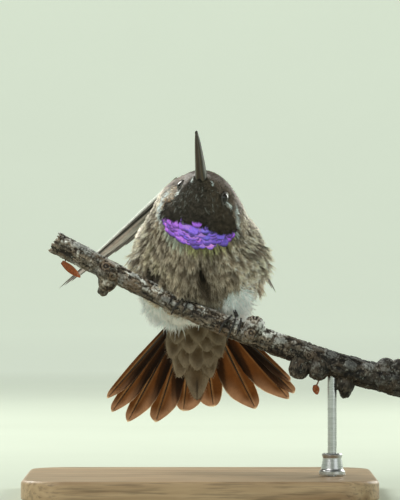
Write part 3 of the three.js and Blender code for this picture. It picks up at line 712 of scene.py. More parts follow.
def markings(s, a, look):
    """Base, middle and tip colours of the plumage at a station and an angle, shared by skin and coat."""
    v = side_of(a)
    side = np.abs(v)
    place = np.stack([s * 2.1, v / 13, 0 * s], -1)
    ground, fine = noise(place, 3), noise(place * 2.7, 4)
    streak = noise(np.stack([s * 0.7, v / 2.6, 0 * s], -1), 6)
    long_streak = noise(np.stack([s * 0.9, v / 3.4, 0 * s], -1), 52) * smooth(v, 12, 35)
    base = look["breast"] * 0.30 + look["breast_base"] * 0.4 + 0 * s[..., None]
    pale = 0.95 + 0.9 * smooth(-v, 14, 50) + 1.8 * smooth(v, 12, 42) * (1 - smooth(s, 5.4, 6.2))
    pale = pale * (1 + 1.0 * long_streak) + 0.9 * smooth(v, 14, 40) * (1 - smooth(s, 3.3, 4.5))
    middle = look["breast"] * (pale**0.7 * (1 + 0.36 * ground + 0.26 * fine))[..., None]
    tip = look["breast_tip"] * (pale * (1 + 0.25 * ground + 0.22 * fine))[..., None]

    # yellowish line under the gorget, and the same tint in patches at the bird's right breast
    low, _ = throat_band(v)
    band = smooth(s, low + 0.02, low + 0.18) * (1 - smooth(side, 44, 58))
    right = spot(s, v, (5.2, -54), (0.6, 17)) * smooth(ground + 0.5 * fine, -0.3, 0.5)
    tint = np.clip(0.85 * band + 0.75 * right, 0, 0.85)
    middle = mix(middle, look["olive"] * (1 + 0.5 * band)[..., None], tint)
    tip = mix(tip, look["olive"] * (1.25 + 0.9 * band)[..., None], tint * 0.85)
    under = band * smooth(-v, 8, 26) * 0.55
    middle, tip = mix(middle, look["white"] * 0.6, under), mix(tip, look["white"] * 0.75, under)

    # flanks, with pale and dark streaks along the neck's sides
    flank = smooth(side, 66, 96) * (1 - smooth(s, 6.6, 7.0))
    middle = mix(middle, look["breast"] * (1.15 + 0.75 * streak)[..., None], flank)
    tip = mix(tip, look["flank"] * (1 + 0.35 * streak)[..., None], flank * 0.85)
    green = smooth(side, 108, 130) * (1 - smooth(s, 6.0, 6.6))
    base, middle = mix(base, look["back"] * 0.35, green), mix(middle, look["back"], green)
    tip = mix(tip, look["back"] * [2.2, 1.7, 1.6], green)

    # crown and nape
    crown = smooth(s, 6.2, 6.8) * smooth(side, 62, 78)
    bronze = look["crown"] * (1 - 0.45 * smooth(s, 7.4, 8.2) * smooth(-v, 0, 90))[..., None]
    base, middle = mix(base, bronze * 0.4, crown), mix(middle, bronze, crown)
    tip = mix(tip, bronze * [2.5, 2.4, 2.6], crown)

    # collar outside each end of the gorget, broad and white on the right and a thin buff line on the left
    line = side - np.where(v < 0, 65, 58) - 38 * (s - 6.2)
    reach = smooth(s, 5.95, 6.15) * (1 - smooth(s, 6.85, 7.1))
    collar = np.where(v < 0, bell(line, 0, 7, 4), 0.75 * bell(line, 0, 3.5)) * reach
    # the bird's right cheek: pale streaked feathers, made lighter still by painted backlight
    pale_cheek_and_light = np.clip(2.2 * spot(s, v, (7.1, -80), (0.68, 16)), 0, 1) * smooth(fine + 0.5 * streak, -0.9, 0.2)
    middle, tip = mix(middle, look["breast"] * 2.7, pale_cheek_and_light), mix(tip, look["flank"] * 1.8, pale_cheek_and_light)
    base, middle, tip = (mix(tone, look["white"] * bright, collar)
                         for tone, bright in ((base, 0.5), (middle, 0.95), (tip, 1.0)))
    rusty = spot(s, v, (7.0, -72), (0.45, 4.5)) * smooth(streak, -0.6, 0.1)
    middle, tip = mix(middle, look["rust"], rusty * 0.9), mix(tip, look["rust"] * 1.6, rusty * 0.8)

    # black chin and face, greyer towards the bill
    black = in_mask(s, v) * 1.0
    grey = np.clip(smooth(s, 6.6, 8.2) + 0.8 * smooth(-v, 30, 66) * smooth(s, 6.5, 7.2), 0, 1)
    base = mix(base, look["chin"] * 0.5, black)
    middle = mix(middle, look["chin"] * (1 + 0.8 * grey)[..., None], black)
    tip = mix(tip, look["chin_tip"] * (0.35 + 0.65 * grey + 0.3 * fine)[..., None], black)
    brown = black * 0.5 * smooth(v, 12, 50) * smooth(s, 6.1, 6.9)
    middle, tip = mix(middle, look["crown"] * 0.6, brown), mix(tip, look["crown"] * 1.5, brown)

    # white marks behind each eye and beside the root of the bill
    mark = (spot(s, v, (7.22, 75), (0.13, 4.5)) + spot(s, v, (7.75, -79), (0.26, 5.5))
            + spot(s, v, (9.12, -74), (0.16, 9)) + spot(s, v, (9.0, 80), (0.16, 9)))
    mark = smooth(mark, 0.3, 0.7)
    base, middle, tip = (mix(tone, look["white"], mark * share)
                         for tone, share in ((base, 0.8), (middle, 0.95), (tip, 0.95)))

    # painted shade in the partings of the breast, and the white of the belly, flanks and vent
    dark = np.clip(1.3 * sum(parting(s, v)), 0, 1)
    base, middle, tip = (tone * (1 - dark * share)[..., None]
                         for tone, share in ((base, 0.93), (middle, 0.9), (tip, 0.3)))
    white = is_white(s, v)
    base, middle = mix(base, look["white"] * 0.95, white), mix(middle, look["white"] * 1.05, white)
    return base, middle, mix(tip, look["white"] * 1.05, white)


def roots(rng, stations, angles, pitch, across, jitter=0.28):
    """Roots in staggered rows from the bill's end to the tail's. Pitch and across give the millimetres
    between rows and between neighbours at a station."""
    found, s, odd = [], stations[1], False
    while s > stations[0]:
        size = section(s)[9:12]
        step = np.degrees(across(s) / (0.5 * size[0] + 0.25 * (size[1] + size[2])))
        a = np.arange(angles[0] + odd * step / 2, angles[1], step)
        per_station = body_axes(np.array(s), np.array(np.mean(angles)))[3]
        here = np.stack([np.full(len(a), s), a], -1)
        found.append(here + rng.normal(0, jitter, here.shape) * [pitch(s) / per_station, step])
        s -= pitch(s) / per_station
        odd = not odd
    return np.concatenate(found)


def lay_feathers(shape, s, a, turn, long, wide, lift, curl, stiff, twist):
    """Points (n, m, 3) of n copies of a feather on the body. Along the lie a point goes x down the stations
    and y round the section, and rises from the skin to lift at the tip, with curl as the square of the way.
    Stiff mixes this with the same feather laid straight on the plane that touches the body at its root."""
    long, wide, lift, curl, stiff, twist = (np.broadcast_to(w, len(s))[:, None]
                                            for w in (long, wide, lift, curl, stiff, twist))
    x, y = shape.points[:, 0] * long, shape.points[:, 1] * wide
    share = shape.points[:, 0]
    z = shape.points[:, 2] * long + lift * share + curl * share**2 + twist * y
    c, d = np.cos(np.radians(turn))[:, None], np.sin(np.radians(turn))[:, None]
    x, y = x * c - y * d, x * d + y * c
    lie, side, normal, per_station, per_degree = body_axes(s, a)
    floor = -coat_depth(s, a)[:, None] + 0.03
    bent = body(s[:, None] - x / per_station[:, None], a[:, None] + y / per_degree[:, None], floor + z)
    flat = body(s, a, floor[:, 0])[:, None] + lie[:, None] * x[..., None] + side[:, None] * y[..., None]
    flat = flat + normal[:, None] * z[..., None]
    return bent * (1 - stiff[..., None]) + flat * stiff[..., None]


def eye_middle(side):
    """Middle of the left (1) or right (-1) eye, sunk into its socket."""
    angle = EYE["angle"] if side > 0 else 180 - EYE["angle"]
    s = np.array(EYE["station"], float)
    return body(s, np.array(angle, float)) - section(s)[3:6] * side * EYE["sunk"]


EYES = {"right": eye_middle(-1), "left": eye_middle(1)}


def free_of_others(s, a):
    """True for roots that aren't in an eye, deep in the twig or under a wing."""
    root = body(s, a, -coat_depth(s, a))
    keep = np.ones(len(s), bool)
    for middle in EYES.values():
        keep &= np.linalg.norm(body(s, a) - middle, axis=-1) > EYE["radius"] + 0.02
    keep &= twig_depth(root)[0] < 0.7
    keep &= np.linalg.norm(clear_of_wings(root, 0.5) - root, axis=-1) < 1.3
    return keep


def coat_piece(name, material, look, rng, shapes, where, size, turn=None, tones=None, speckle=0.16,
               slot="plumage", replaced=()):
    """One piece of the coat. Where is the roots' (station, angle), size a function of them that returns the
    feathers' length, width, lift, curl, stiffness and twist, and tones one that changes their colours."""
    s, a = where[:, 0], where[:, 1]
    keep = free_of_others(s, a)
    s, a = s[keep], a[keep]
    kind = rng.integers(0, len(shapes), len(s))
    lengths = size(s, a)
    turns = rng.normal(0, 6, len(s)) + (0 if turn is None else turn(s, a))
    shade = 1 + speckle * rng.normal(size=len(s))
    base, middle, tip = markings(s, a, look)
    if tones is not None:
        base, middle, tip = tones(s, a, base, middle, tip)
    parts, places = [], []
    for k, shape in enumerate(shapes):
        pick = kind == k
        if not pick.any():
            continue
        n, m = int(pick.sum()), len(shape.points)
        own = [np.broadcast_to(w, len(s))[pick] for w in lengths]
        points = lay_feathers(shape, s[pick], a[pick], turns[pick], *own)
        points = clear_of_twig(clear_of_wings(points, 0.12), 0.1)
        t = shape.along
        toned = mix(base[pick][:, None], middle[pick][:, None], smooth(t, *BASE_FADE))
        toned = mix(toned, tip[pick][:, None], smooth(t, *TIP_FADE))
        toned = toned * (shade[pick][:, None] * (1 + STRAND_TINT * shape.tint))[..., None]
        offset = (np.arange(n) * m)[:, None, None]
        faces = [(f + offset).reshape(-1, f.shape[1]) for f in shape.faces]
        parts.append((points.reshape(-1, 3), faces, carried(np.clip(toned, 0.002, 0.95), np.tile(t, n))))
        root = np.stack([a[pick] % 360 / 360, (s[pick] + 1) / 11], -1)[:, None]
        spread = np.stack([shape.points[:, 1] / np.ptp(shape.points[:, 1]), shape.points[:, 0] - 0.5], -1)
        places.append((root + spread * PATCH).reshape(-1, 2))
    points, faces, colours = joined(parts)
    return make_piece(name, points, faces, material, slot, replaced, colours, {COAT_MAP: np.vstack(places)})


# ---- finishes
def plumage_material(name, rough=0.82, sheen=0.25, through=0.22, grain=0.30, metal=0.0, gloss=0.35):
    """Feathers in the colours that they carry, with a fine grain, some sheen and light let through."""
    sh = Shader(name)
    fine, broad = sh.noise(5200, 2.0), sh.noise(900, 3.0)
    vary = sh.ramp(fine, [(0.25, 1 - grain), (0.75, 1 + grain)])
    drift = sh.ramp(broad, [(0.3, 0.86), (0.7, 1.12)])
    shade = sh.times(sh.carried(), vary, drift)
    return sh.surface(through=shade, through_share=through, Base_Color=shade,
                      Roughness=sh.scaled(fine, 0.2, rough - 0.1),
                      Normal=sh.bump(fine, 0.35, 0.03), Metallic=metal, Specular_IOR_Level=gloss,
                      Sheen_Weight=sheen, Sheen_Roughness=0.45)


def gorget_material():
    """Iridescent scales: a metallic violet whose hue shifts a little towards the edge of sight."""
    sh = Shader("gorget_scales")
    tone = sh.carried()
    fine = sh.noise(3800, 3.0)
    glance = sh.add("LayerWeight", {"Blend": 0.35}).outputs["Facing"]
    shade = sh.blend("MIX", sh.scaled(glance, 0.8), tone, sh.times(tone, (0.75, 0.42, 0.90)))
    shade = sh.times(shade, sh.ramp(fine, [(0.25, 0.75), (0.7, 1.55)]))
    return sh.surface(Base_Color=shade, Roughness=sh.scaled(fine, 0.25, 0.24),
                      Normal=sh.bump(fine, 0.5, 0.05), Metallic=0.12, Specular_IOR_Level=0.6,
                      Coat_Weight=0.2, Coat_Roughness=0.25)


def skin_material():
    """The skin under the coat: the same markings, darker, with a fine barbed bump."""
    sh = Shader("skin_under_coat")
    fine = sh.noise(2600, 4.0)
    shade = sh.times(sh.carried(), sh.ramp(fine, [(0.3, 0.6), (0.75, 1.1)]))
    return sh.surface(Base_Color=shade, Roughness=sh.scaled(fine, 0.1, 0.5),
                      Normal=sh.bump(fine, 0.7, 0.12), Specular_IOR_Level=0.2)


def eye_material():
    """A wet, nearly black eye with a faint brown iris round the pupil."""
    sh = Shader("dark_wet_eye")
    soft = sh.noise(1500, 2.0)
    shade = sh.ramp(soft, [(0.35, (0.006, 0.005, 0.005)), (0.75, (0.022, 0.014, 0.009))])
    return sh.surface(Base_Color=shade, Roughness=sh.scaled(soft, 0.03, 0.02),
                      Normal=sh.bump(soft, 0.02, 0.02), Specular_IOR_Level=0.3, Coat_Weight=0.25,
                      Coat_Roughness=0.03)


def lid_material():
    """Bare grey eyelid skin with fine granules."""
    sh = Shader("granular_eyelid")
    grains = sh.add("TexVoronoi", {"Vector": sh.place(), "Scale": 5200.0}).outputs["Distance"]
    shade = sh.times(sh.carried(), sh.ramp(grains, [(0.1, 1.15), (0.75, 0.55)]))
    return sh.surface(Base_Color=shade, Roughness=sh.scaled(grains, 0.3, 0.5),
                      Normal=sh.bump(sh.scaled(grains, -1.0, 1.0), 0.6, 0.05), Specular_IOR_Level=0.45)


def horn_material():
    """The bill's horn: near black, browner near the root and along the edges, finely grooved lengthways."""
    sh = Shader("bill_horn")
    lines = sh.noise(700, 4.0, stretch=(6.0, 0.5, 3.0))
    shade = sh.times(sh.carried(), sh.ramp(lines, [(0.3, 0.68), (0.7, 1.25)]))
    roughness = sh.scaled(sh.noise(4200, 3.0), 0.22, 0.26)
    return sh.surface(Base_Color=shade, Roughness=roughness, Normal=sh.bump(lines, 0.25, 0.08),
                      Specular_IOR_Level=0.5, Coat_Weight=0.15, Coat_Roughness=0.3)


# ---- the bird's body
def look_of(context):
    """The plumage settings' colours as arrays."""
    settings = context.scene.hummingbird_plumage
    return {name: rgb(getattr(settings, name)) for name in PlumageSettings.__annotations__ if name != "seed"}


class BirdOperator:
    """What the operators share."""

    bl_options = {"REGISTER", "UNDO"}


class HUMMINGBIRD_OT_skin(BirdOperator, Operator):
    """One skin under the head, neck, trunk and rump: the body's surface less the coat's depth, with fine
    folds, moved clear of the twig and the wings, and closed at both ends"""

    bl_idname = "hummingbird.skin"
    bl_label = "Skin"

    def execute(self, context):
        rows, columns = 230, 200
        s = np.linspace(-0.25, LAST + 0.36, rows)[:, None] + np.zeros(columns)
        a = np.zeros((rows, 1)) + np.linspace(0, 360, columns, endpoint=False)
        round_place = np.stack([s * 4, np.cos(np.radians(a)) * 5, np.sin(np.radians(a)) * 5], -1)
        folds = layered_noise(round_place, 3, 11)
        points = body(s, a, -coat_depth(s, a) + 0.05 * folds)
        points = clear_of_twig(clear_of_wings(points, 0.35), 0.35)
        points, faces = tube(points)
        base, middle, _ = markings(s.ravel(), a.ravel(), look_of(context))
        # painted shade: the skin darkens where the breast's feathers part
        dark = np.clip(1.5 * sum(parting(s.ravel(), side_of(a.ravel()))), 0, 1)
        shade = (0.55 * base + 0.45 * middle) * (1 - 0.85 * dark)[:, None]
        shade = np.vstack([shade, shade[:columns].mean(0), shade[-columns:].mean(0)])
        make_piece("body_skin", points, faces, skin_material(), "plumage", ("head", "neck", "trunk", "rump"),
                   carried(shade))
        return {"FINISHED"}


# Length of the body's feathers and distance between them in millimetres, at stations.
LENGTHS = {"at": [-0.7, 0.6, 1.6, 3.0, 4.2, 5.0, 5.7, 6.4, 7.4, 8.3, 9.1],
           "long": [3.4, 4.2, 5.0, 5.2, 4.6, 3.6, 2.6, 1.8, 1.25, 0.95, 0.6],
           "pitch": [1.3, 1.3, 1.25, 1.15, 1.0, 0.82, 0.7, 0.55, 0.46, 0.36, 0.26]}


def long_at(s):
    """Length of the body's feathers in millimetres at a station."""
    return np.interp(s, LENGTHS["at"], LENGTHS["long"])


def pitch_at(share):
    """A share of the distance between the body's feathers, as a function of the station."""
    return lambda s: share * np.interp(s, LENGTHS["at"], LENGTHS["pitch"])


def splay(s, a):
    """Degrees by which the feathers turn out to the sides, away from the breast's parting, and in to the
    middle of their tuft."""
    v = side_of(a)
    near = spot(s, v, (4.68, -1), (0.5, 9))
    across, _ = tuft(s, v)
    outwards = np.clip(v * 0.16, -18, 18) * smooth(s, 1.8, 3.2)
    return outwards + 24 * np.sign(v + 1) * near - 11 * across * (1 - near)


def tuft_shaded(s, a, base, middle, tip):
    """Colours with painted shade that darkens towards the edges of each tuft, where the tufts part."""
    across, _ = tuft(s, side_of(a))
    tuft_shade = (1.10 - 0.24 * np.abs(across) ** 1.5)[:, None]
    return base * tuft_shade, middle * tuft_shade, tip * tuft_shade


# The coat's kinds of feather, drawn in this order: how it is made, how many and how it differs.
COAT_FEATHERS = (
    (plume, 6, {}),
    (plume, 4, {"barbs": 11, "spread": 17, "reach": 0.5, "width": 0.03, "leaf": 0.15, "gather": 0.12}),
    (plume, 4, {"barbs": 6, "spread": 30, "reach": 0.4, "width": 0.05, "leaf": 0.2}),
    (plume, 4, {"barbs": 3, "spread": 26, "reach": 0.7, "width": 0.028, "leaf": 0.0, "gather": 0.25}),
    (plume, 5, {"barbs": 12, "spread": 40, "reach": 0.5, "width": 0.03, "loose": 0.3, "leaf": 0.12}),
    (scale, 4, {"rows": 5, "columns": 4, "half": 0.30, "fringe": 8, "fringe_reach": 0.36, "width": 0.07}),
    (scale, 4, {}),
)


class HUMMINGBIRD_OT_coat(BirdOperator, Operator):
    """The coat of loose body feathers and small scale-like ones, in staggered rows that follow the lie"""

    bl_idname = "hummingbird.coat"
    bl_label = "Coat"

    def execute(self, context):
        rng = np.random.default_rng(context.scene.hummingbird_plumage.seed)
        look = look_of(context)
        soft = plumage_material("soft_plumage")
        down = plumage_material("white_down", rough=0.7, sheen=1.0, through=0.05, grain=0.10)
        velvet = plumage_material("velvet_plumage", rough=0.75, sheen=0.12, through=0.05, grain=0.25,
                                  gloss=0.2)
        bronze = plumage_material("bronze_plumage", rough=0.5, sheen=0.1, through=0.05, grain=0.25, metal=0.2,
                                  gloss=0.4)
        loose, pointed, small, hairs, downy, velvety, shiny = ([make(rng, **sizes) for _ in range(count)]
                                                               for make, count, sizes in COAT_FEATHERS)

        def breast_size(s, a):
            v, n = side_of(a), len(s)
            across, up = tuft(s, v)
            over_gap = spot(s, v, (5.22, -1), (0.3, 6))
            long = long_at(s) * (0.84 + 0.24 * up) * rng.normal(1, 0.16, n) * (1 - 0.4 * over_gap)
            lift = coat_depth(s, a) * rng.normal(0.72, 0.13, n) * (1.08 - 0.18 * np.abs(across))
            curl = rng.normal(-0.1, 0.12, n) * long / 4
            return long, long * rng.uniform(0.75, 1.05, n), lift, curl, 0.05, rng.normal(0, 0.12, n)

        def lay(stations, angles, pitch, across, jitter=0.28):
            """Roots with their stations and degrees from the throat's middle, from which the angles count."""
            where = roots(rng, stations, [THROAT + angle for angle in angles], pitch, across, jitter)
            return where, where[:, 0], side_of(where[:, 1])

        def body_coat(name, stations, angles):
            where, s, v = lay(stations, angles, pitch_at(0.63), pitch_at(0.66), 0.4)
            low, _ = throat_band(v)
            gap, hollow = parting(s, v)
            bare = (gap > 0.42) | ((hollow > 0.45) & (rng.random(len(s)) < 0.85)) | (is_white(s, v) > 0.5)
            where = where[((s < low + 0.26) | ((np.abs(v) > 59) & (s < 6.7))) & ~bare & ~in_mask(s, v)]
            coat_piece(name, soft, look, rng, loose, where, breast_size, splay, tuft_shaded, speckle=0.2)

        body_coat("coat_breast_right", (3.9, 6.7), (-112, 0))
        body_coat("coat_breast_left", (3.9, 6.7), (0, 112))
        body_coat("coat_belly_right", (2.2, 3.9), (-112, 0))
        body_coat("coat_belly_left", (2.2, 3.9), (0, 112))

        def shaggy_size(s, a):
            v, n = side_of(a), len(s)
            _, up = tuft(s, v)
            bold = smooth(noise(np.stack([s * 2.3, v / 9, 0 * s], -1), 51), -0.1, 0.45)
            long = long_at(s) * (0.85 + 0.45 * up + 0.35 * bold) * rng.normal(1, 0.05, n)
            lift = coat_depth(s, a) * rng.normal(0.9, 0.08, n) + 0.55 * bold
            wide = long * rng.uniform(0.6, 0.85, n)
            return long, wide, lift, -0.15, 0.15 + 0.25 * bold, rng.normal(0, 0.1, n)

        def shaggy_tones(s, a, base, middle, tip):
            across, _ = tuft(s, side_of(a))
            edge = look["flank"] * rng.uniform(1.0, 1.5, (len(s), 1))
            # painted shade: the middles darken towards the edges of each tuft
            return base, middle * (0.95 - 0.4 * across**2)[:, None], edge

        left, _, _ = lay((2.9, 5.6), (58, 86), lambda s: 0.95, lambda s: 0.75, 0.3)
        right, _, _ = lay((3.9, 5.6), (-100, -70), lambda s: 1.0, lambda s: 0.85, 0.3)
        coat_piece("coat_shaggy_edges", soft, look, rng, pointed, np.vstack([left, right]), shaggy_size,
                   splay, shaggy_tones)

        def downy_size(s, a):
            v, n = side_of(a), len(s)
            across, up = tuft(s, v)
            long = long_at(s) * (0.75 + 0.35 * up) * rng.normal(1, 0.12, n)
            stand = 3.4 * smooth(-v, 10, 40) * (1 - smooth(-v, 70, 92)) * smooth(s, 0.4, 1.5)
            stand = stand * (1 - smooth(s, 1.6, 2.8))
            flank = 1.6 * bell(v, 24, 11) * smooth(s, 1.8, 2.6) * (1 - smooth(s, 3.4, 4.4))
            lift = coat_depth(s, a) * rng.normal(0.9, 0.15, n) * (1.15 - 0.35 * np.abs(across))
            lift = lift + (stand + flank)
            wide = long * rng.uniform(0.8, 1.1, n)
            return long, wide, lift, rng.normal(0.0, 0.2, n), 0.2, rng.normal(0, 0.2, n)

        where, _, _ = lay((-0.1, 2.35), (-118, 118), pitch_at(0.75), pitch_at(0.7), 0.4)
        coat_piece("coat_vent", down, look, rng, downy, where, downy_size, splay, tuft_shaded)
        where, s, v = lay((2.3, 4.8), (-112, 60), pitch_at(0.7), pitch_at(0.7), 0.4)
        where = where[is_white(s, v) > 0.5]
        coat_piece("coat_white_tufts", down, look, rng, downy, where, downy_size, splay, tuft_shaded)

        def flat_size(share, raise_by=0.0, wide=1.0):
            def size(s, a):
                n = len(s)
                long = share * long_at(s) * rng.normal(1, 0.08, n)
                lift = coat_depth(s, a) * rng.normal(0.9, 0.1, n) + raise_by
                return long, wide * long, lift, rng.normal(0, 0.03, n) * long, 0.05, rng.normal(0, 0.06, n)
            return size

        where, _, _ = lay((-0.25, 6.3), (108, 252), pitch_at(1.0), pitch_at(0.95))
        coat_piece("coat_back", bronze, look, rng, shiny, where, flat_size(0.82), speckle=0.12)

        for name, angles in (("right", (180, 298)), ("left", (62, 180))):
            where, s, v = lay((6.2, 9.34), angles, pitch_at(0.8), pitch_at(0.76))
            where = where[~in_mask(s, v) & ~in_gorget(s, v)]
            coat_piece(f"coat_crown_{name}", bronze, look, rng, small + shiny[:2], where,
                       flat_size(0.95, 0.02), speckle=0.25)

        where, s, v = lay((5.9, 9.34), (-80, 80), pitch_at(0.62), pitch_at(0.6))
        _, high = throat_band(v)
        above = s > high + CHIN_HANG + 0.08 * smooth(-v, 15, 30)
        where = where[in_mask(s, v) & (above | (v < -61) | (v > 58))]
        coat_piece("coat_chin", velvet, look, rng, velvety, where, flat_size(1.0, 0.03), speckle=0.35)

        def barb_tones(s, a, base, middle, tip):
            pale = 0.5 * look["flank"] + 0.5 * look["white"]
            return middle, mix(middle, pale, 0.12), pale * rng.uniform(0.08, 0.5, (len(s), 1))

        where, s, v = lay((6.5, 9.2), (-96, 72), pitch_at(1.25), pitch_at(1.25), 0.4)
        where = where[rng.random(len(s)) < smooth(s, 6.9, 8.6) * 0.3 + 0.7 * smooth(-v, 25, 65) * (s < 8.4)]
        coat_piece("coat_chin_barbs", velvet, look, rng, hairs, where, flat_size(1.3, 0.10, 0.8),
                   turn=lambda s, a: rng.normal(0, 22, len(s)), tones=barb_tones)
        return {"FINISHED"}


SCALE_STEP = 8.4  # degrees between neighbours in a row of the gorget's scales


class HUMMINGBIRD_OT_gorget(BirdOperator, Operator):
    """The gorget: broad overlapping violet scales with dark edges, laid in rows across the throat"""

    bl_idname = "hummingbird.gorget"
    bl_label = "Gorget"

    def execute(self, context):
        rng = np.random.default_rng(context.scene.hummingbird_plumage.seed + 1)
        look = look_of(context)
        shapes = [scale(rng, rows=9, columns=9, half=0.55, blunt=0.45, camber=0.30, fringe=0)
                  for _ in range(4)]
        row, across = np.arange(12)[:, None], np.arange(-61, 60, SCALE_STEP)
        v = across + SCALE_STEP / 2 * (row % 2) + rng.normal(0, 0.9, (len(row), len(across)))
        low, high = throat_band(v)
        share = 1 - 0.30 * smooth(np.abs(v), 30, 60)
        s = low + 0.37 * share + row * 0.155 * share + rng.normal(0, 0.02, v.shape) * (row > 0)
        keep = (s < high + 0.20 + 0.2 * (rng.random(v.shape) < 0.2)) & (np.abs(v + 2) < 60)
        where = np.stack([s[keep], THROAT + v[keep]], -1)

        def size(s, a):
            n = len(s)
            long = rng.normal(1.95, 0.10, n) * (1 - 0.30 * smooth(np.abs(side_of(a)), 30, 60))
            wide = long * rng.uniform(0.85, 1.15, n)
            return long, wide, 0.66 * rng.normal(1, 0.25, n), -0.12, 0.12, rng.normal(0, 0.2, n)

        def tones(s, a, base, middle, tip):
            v, n = side_of(a), len(s)
            pink = np.clip(smooth(-v, -5, 40) * 0.8 + 0.3 * rng.normal(size=n), 0, 1)
            blue = np.clip(smooth(v, 0, 34) * 0.75 + 0.3 * rng.normal(size=n), 0, 1)
            plum = np.clip(smooth(v, 26, 52) + smooth(-v, 30, 60) * smooth(6.3 - s, 0, 0.3) * 0.7
                           + 0.25 * rng.normal(size=n), 0, 1)
            middle = mix(np.broadcast_to(look["gorget"], middle.shape), look["gorget_pink"], pink)
            middle = mix(mix(middle, look["gorget_blue"], blue), look["gorget_plum"], plum * 0.75)
            middle = middle * np.exp(rng.normal(0.2, 0.36, n))[:, None]
            return middle * 0.06, middle, middle * 0.05

        coat_piece("throat_gorget_scales", gorget_material(), look, rng, shapes, where, size, tones=tones,
                   speckle=0.12, slot="gorget", replaced=("throat_gorget",))
        return {"FINISHED"}


class HUMMINGBIRD_OT_eyes(BirdOperator, Operator):
    """Each eye: a glossy ball, and round it a granular lid ring that follows the head"""

    bl_idname = "hummingbird.eyes"
    bl_label = "Eyes"

    def execute(self, context):
        wet, lid = eye_material(), lid_material()
        for name, middle in EYES.items():
            side = 1 if name == "left" else -1
            here = section(np.array(EYE["station"]))
            out = unit(here[3:6] * side + here[12:15] * 0.10 - here[6:9] * 0.05)
            ahead = unit(here[12:15] - out * here[12:15].dot(out))
            above = np.cross(out, ahead)
            rows, columns = 30, 44
            polar = np.linspace(0.02, np.pi - 0.02, rows)[:, None, None]
            turn = np.linspace(0, 2 * np.pi, columns, endpoint=False)[None, :, None]
            bulge = 1 + 0.05 * bell(polar, 0, 0.45)
            ball = middle + EYE["radius"] * 0.985 * bulge * (
                out * np.cos(polar) + np.sin(polar) * (ahead * np.cos(turn) + above * np.sin(turn)))
            points, faces = tube(ball)
            make_piece(f"eye_ball_{name}", points, faces, wet, "eye", (f"eye_{name}",))

            rows, columns = 11, 72
            across = np.linspace(0, 2 * np.pi, rows, endpoint=False)[None, :, None]
            turn = np.linspace(0, 2 * np.pi, columns, endpoint=False)[:, None, None]
            beads = 1 + 0.16 * np.cos(turn * 24) * (np.cos(across) > -0.3)
            almond = 1.26 + 0.12 * np.cos(2 * turn) + 0.03 * np.cos(turn)
            spoke = ahead * np.cos(turn) + above * np.sin(turn)
            height = np.sqrt(np.maximum(EYE["radius"] ** 2 - (almond * 0.99) ** 2, 0.05))
            thick = 0.17 * beads
            ring = middle + out * height + spoke * almond
            ring = ring + thick * (spoke * np.cos(across) + out * np.sin(across))
            points = ring.reshape(-1, 3)
            rear = smooth(0.15 - np.cos(turn - 0.5) + 0 * across, 0.0, 0.7)[..., 0]
            make_piece(f"eye_lid_{name}", points, oriented(points, [torus_faces(columns, rows)]), lid, "eye",
                       colours=carried(mix([0.10, 0.09, 0.08], [0.80, 0.80, 0.76], rear)))
        return {"FINISHED"}


BILL_AXIS = unit(np.array([-0.05, -0.855, 0.516]))
BILL_START, BILL_DROOP = 0.3, 0.35  # millimetres ahead of the body's last station, and down at the tip


class HUMMINGBIRD_OT_bill(BirdOperator, Operator):
    """The bill's two halves: tapering horn with a ridge along the top one, two ridges and a groove under the
    lower one, and a nostril slit on each side at the root"""

    bl_idname = "hummingbird.bill"
    bl_label = "Bill"

    length: amount("Length", 17.6, "Length of the bill in millimetres")
    width: amount("Width", 2.3, "Width of the bill at its root in millimetres")
    height: amount("Height", 2.1, "Height of both halves at the root in millimetres")

    def execute(self, context):
        horn = horn_material()
        root = section(np.array(float(LAST)))
        side = root[3:6]
        top = unit(np.cross(BILL_AXIS, side))
        rows, columns = 90, 28
        t = np.linspace(-0.03, 1, rows)[:, None]
        taper = np.maximum(1 - np.maximum(t, 0), 0) ** 0.45 * (1 - 0.15 * t)
        blunt = np.sqrt(np.clip((1 - t) / 0.02, 0, 1))
        half = np.maximum(0.29, self.width / 2 * taper) * np.maximum(blunt, 0.02)
        high = np.maximum(0.28, self.height / 2 * taper) * np.maximum(blunt, 0.02)
        middle = root[:3] + BILL_AXIS * (BILL_START + self.length * t) + top * (-BILL_DROOP * t**2)
        a = np.linspace(0, 2 * np.pi, columns, endpoint=False)
        c, d = np.cos(a), np.sin(a)
        arc = np.clip(d, 0, 1)
        for upper in (True, False):
            x = half * np.sign(c) * np.abs(c) ** (0.8 if upper else 0.65)
            y = high * arc ** 0.75
            if upper:
                y = y * (1 + 0.10 * bell(c, 0, 0.22))
                slit = bell(t, 0.045, 0.035) * bell(d, 0.55, 0.14) * (d > 0)
                x = x * (1 - 0.22 * slit)
            else:
                y = y * (1 - 0.20 * bell(c, 0, 0.20) + 0.06 * bell(np.abs(c), 0.42, 0.16))
            y = 0.02 + y
            rings = middle[:, None] + side * x[..., None] + top * (y if upper else -y)[..., None]
            points, faces = tube(rings)
            # the pale along the edges where the halves meet is browner horn; the pale along the lower half's
            # two ridges is a painted highlight
            pale = bell(np.abs(c), 0.42, 0.18) * (0 if upper else 1) + 0.35 * bell(arc, 0, 0.25)
            shade = mix([0.020, 0.016, 0.013], [0.115, 0.098, 0.066], pale * (0.95 - 0.35 * t))
            shade = shade * (1 - 0.35 * smooth(t, 0.5, 1.0))[..., None]
            shade = np.vstack([shade.reshape(-1, 3), shade[0].mean(0), shade[-1].mean(0)])
            name = "upper" if upper else "lower"
            make_piece(f"bill_{name}_horn", points, faces, horn, "bill", (f"bill_{name}",), carried(shade))
        return {"FINISHED"}


# ---- flight and tail feathers
def vane_shares(rows, columns):
    """Shares along a vane, closer at its root, and across it from -1 to 1, closer at its edges."""
    t, w = np.meshgrid(np.linspace(0, 1, rows) ** 0.92, np.linspace(-1, 1, columns), indexing="ij")
    return t, np.sign(w) * np.abs(w) ** 0.9


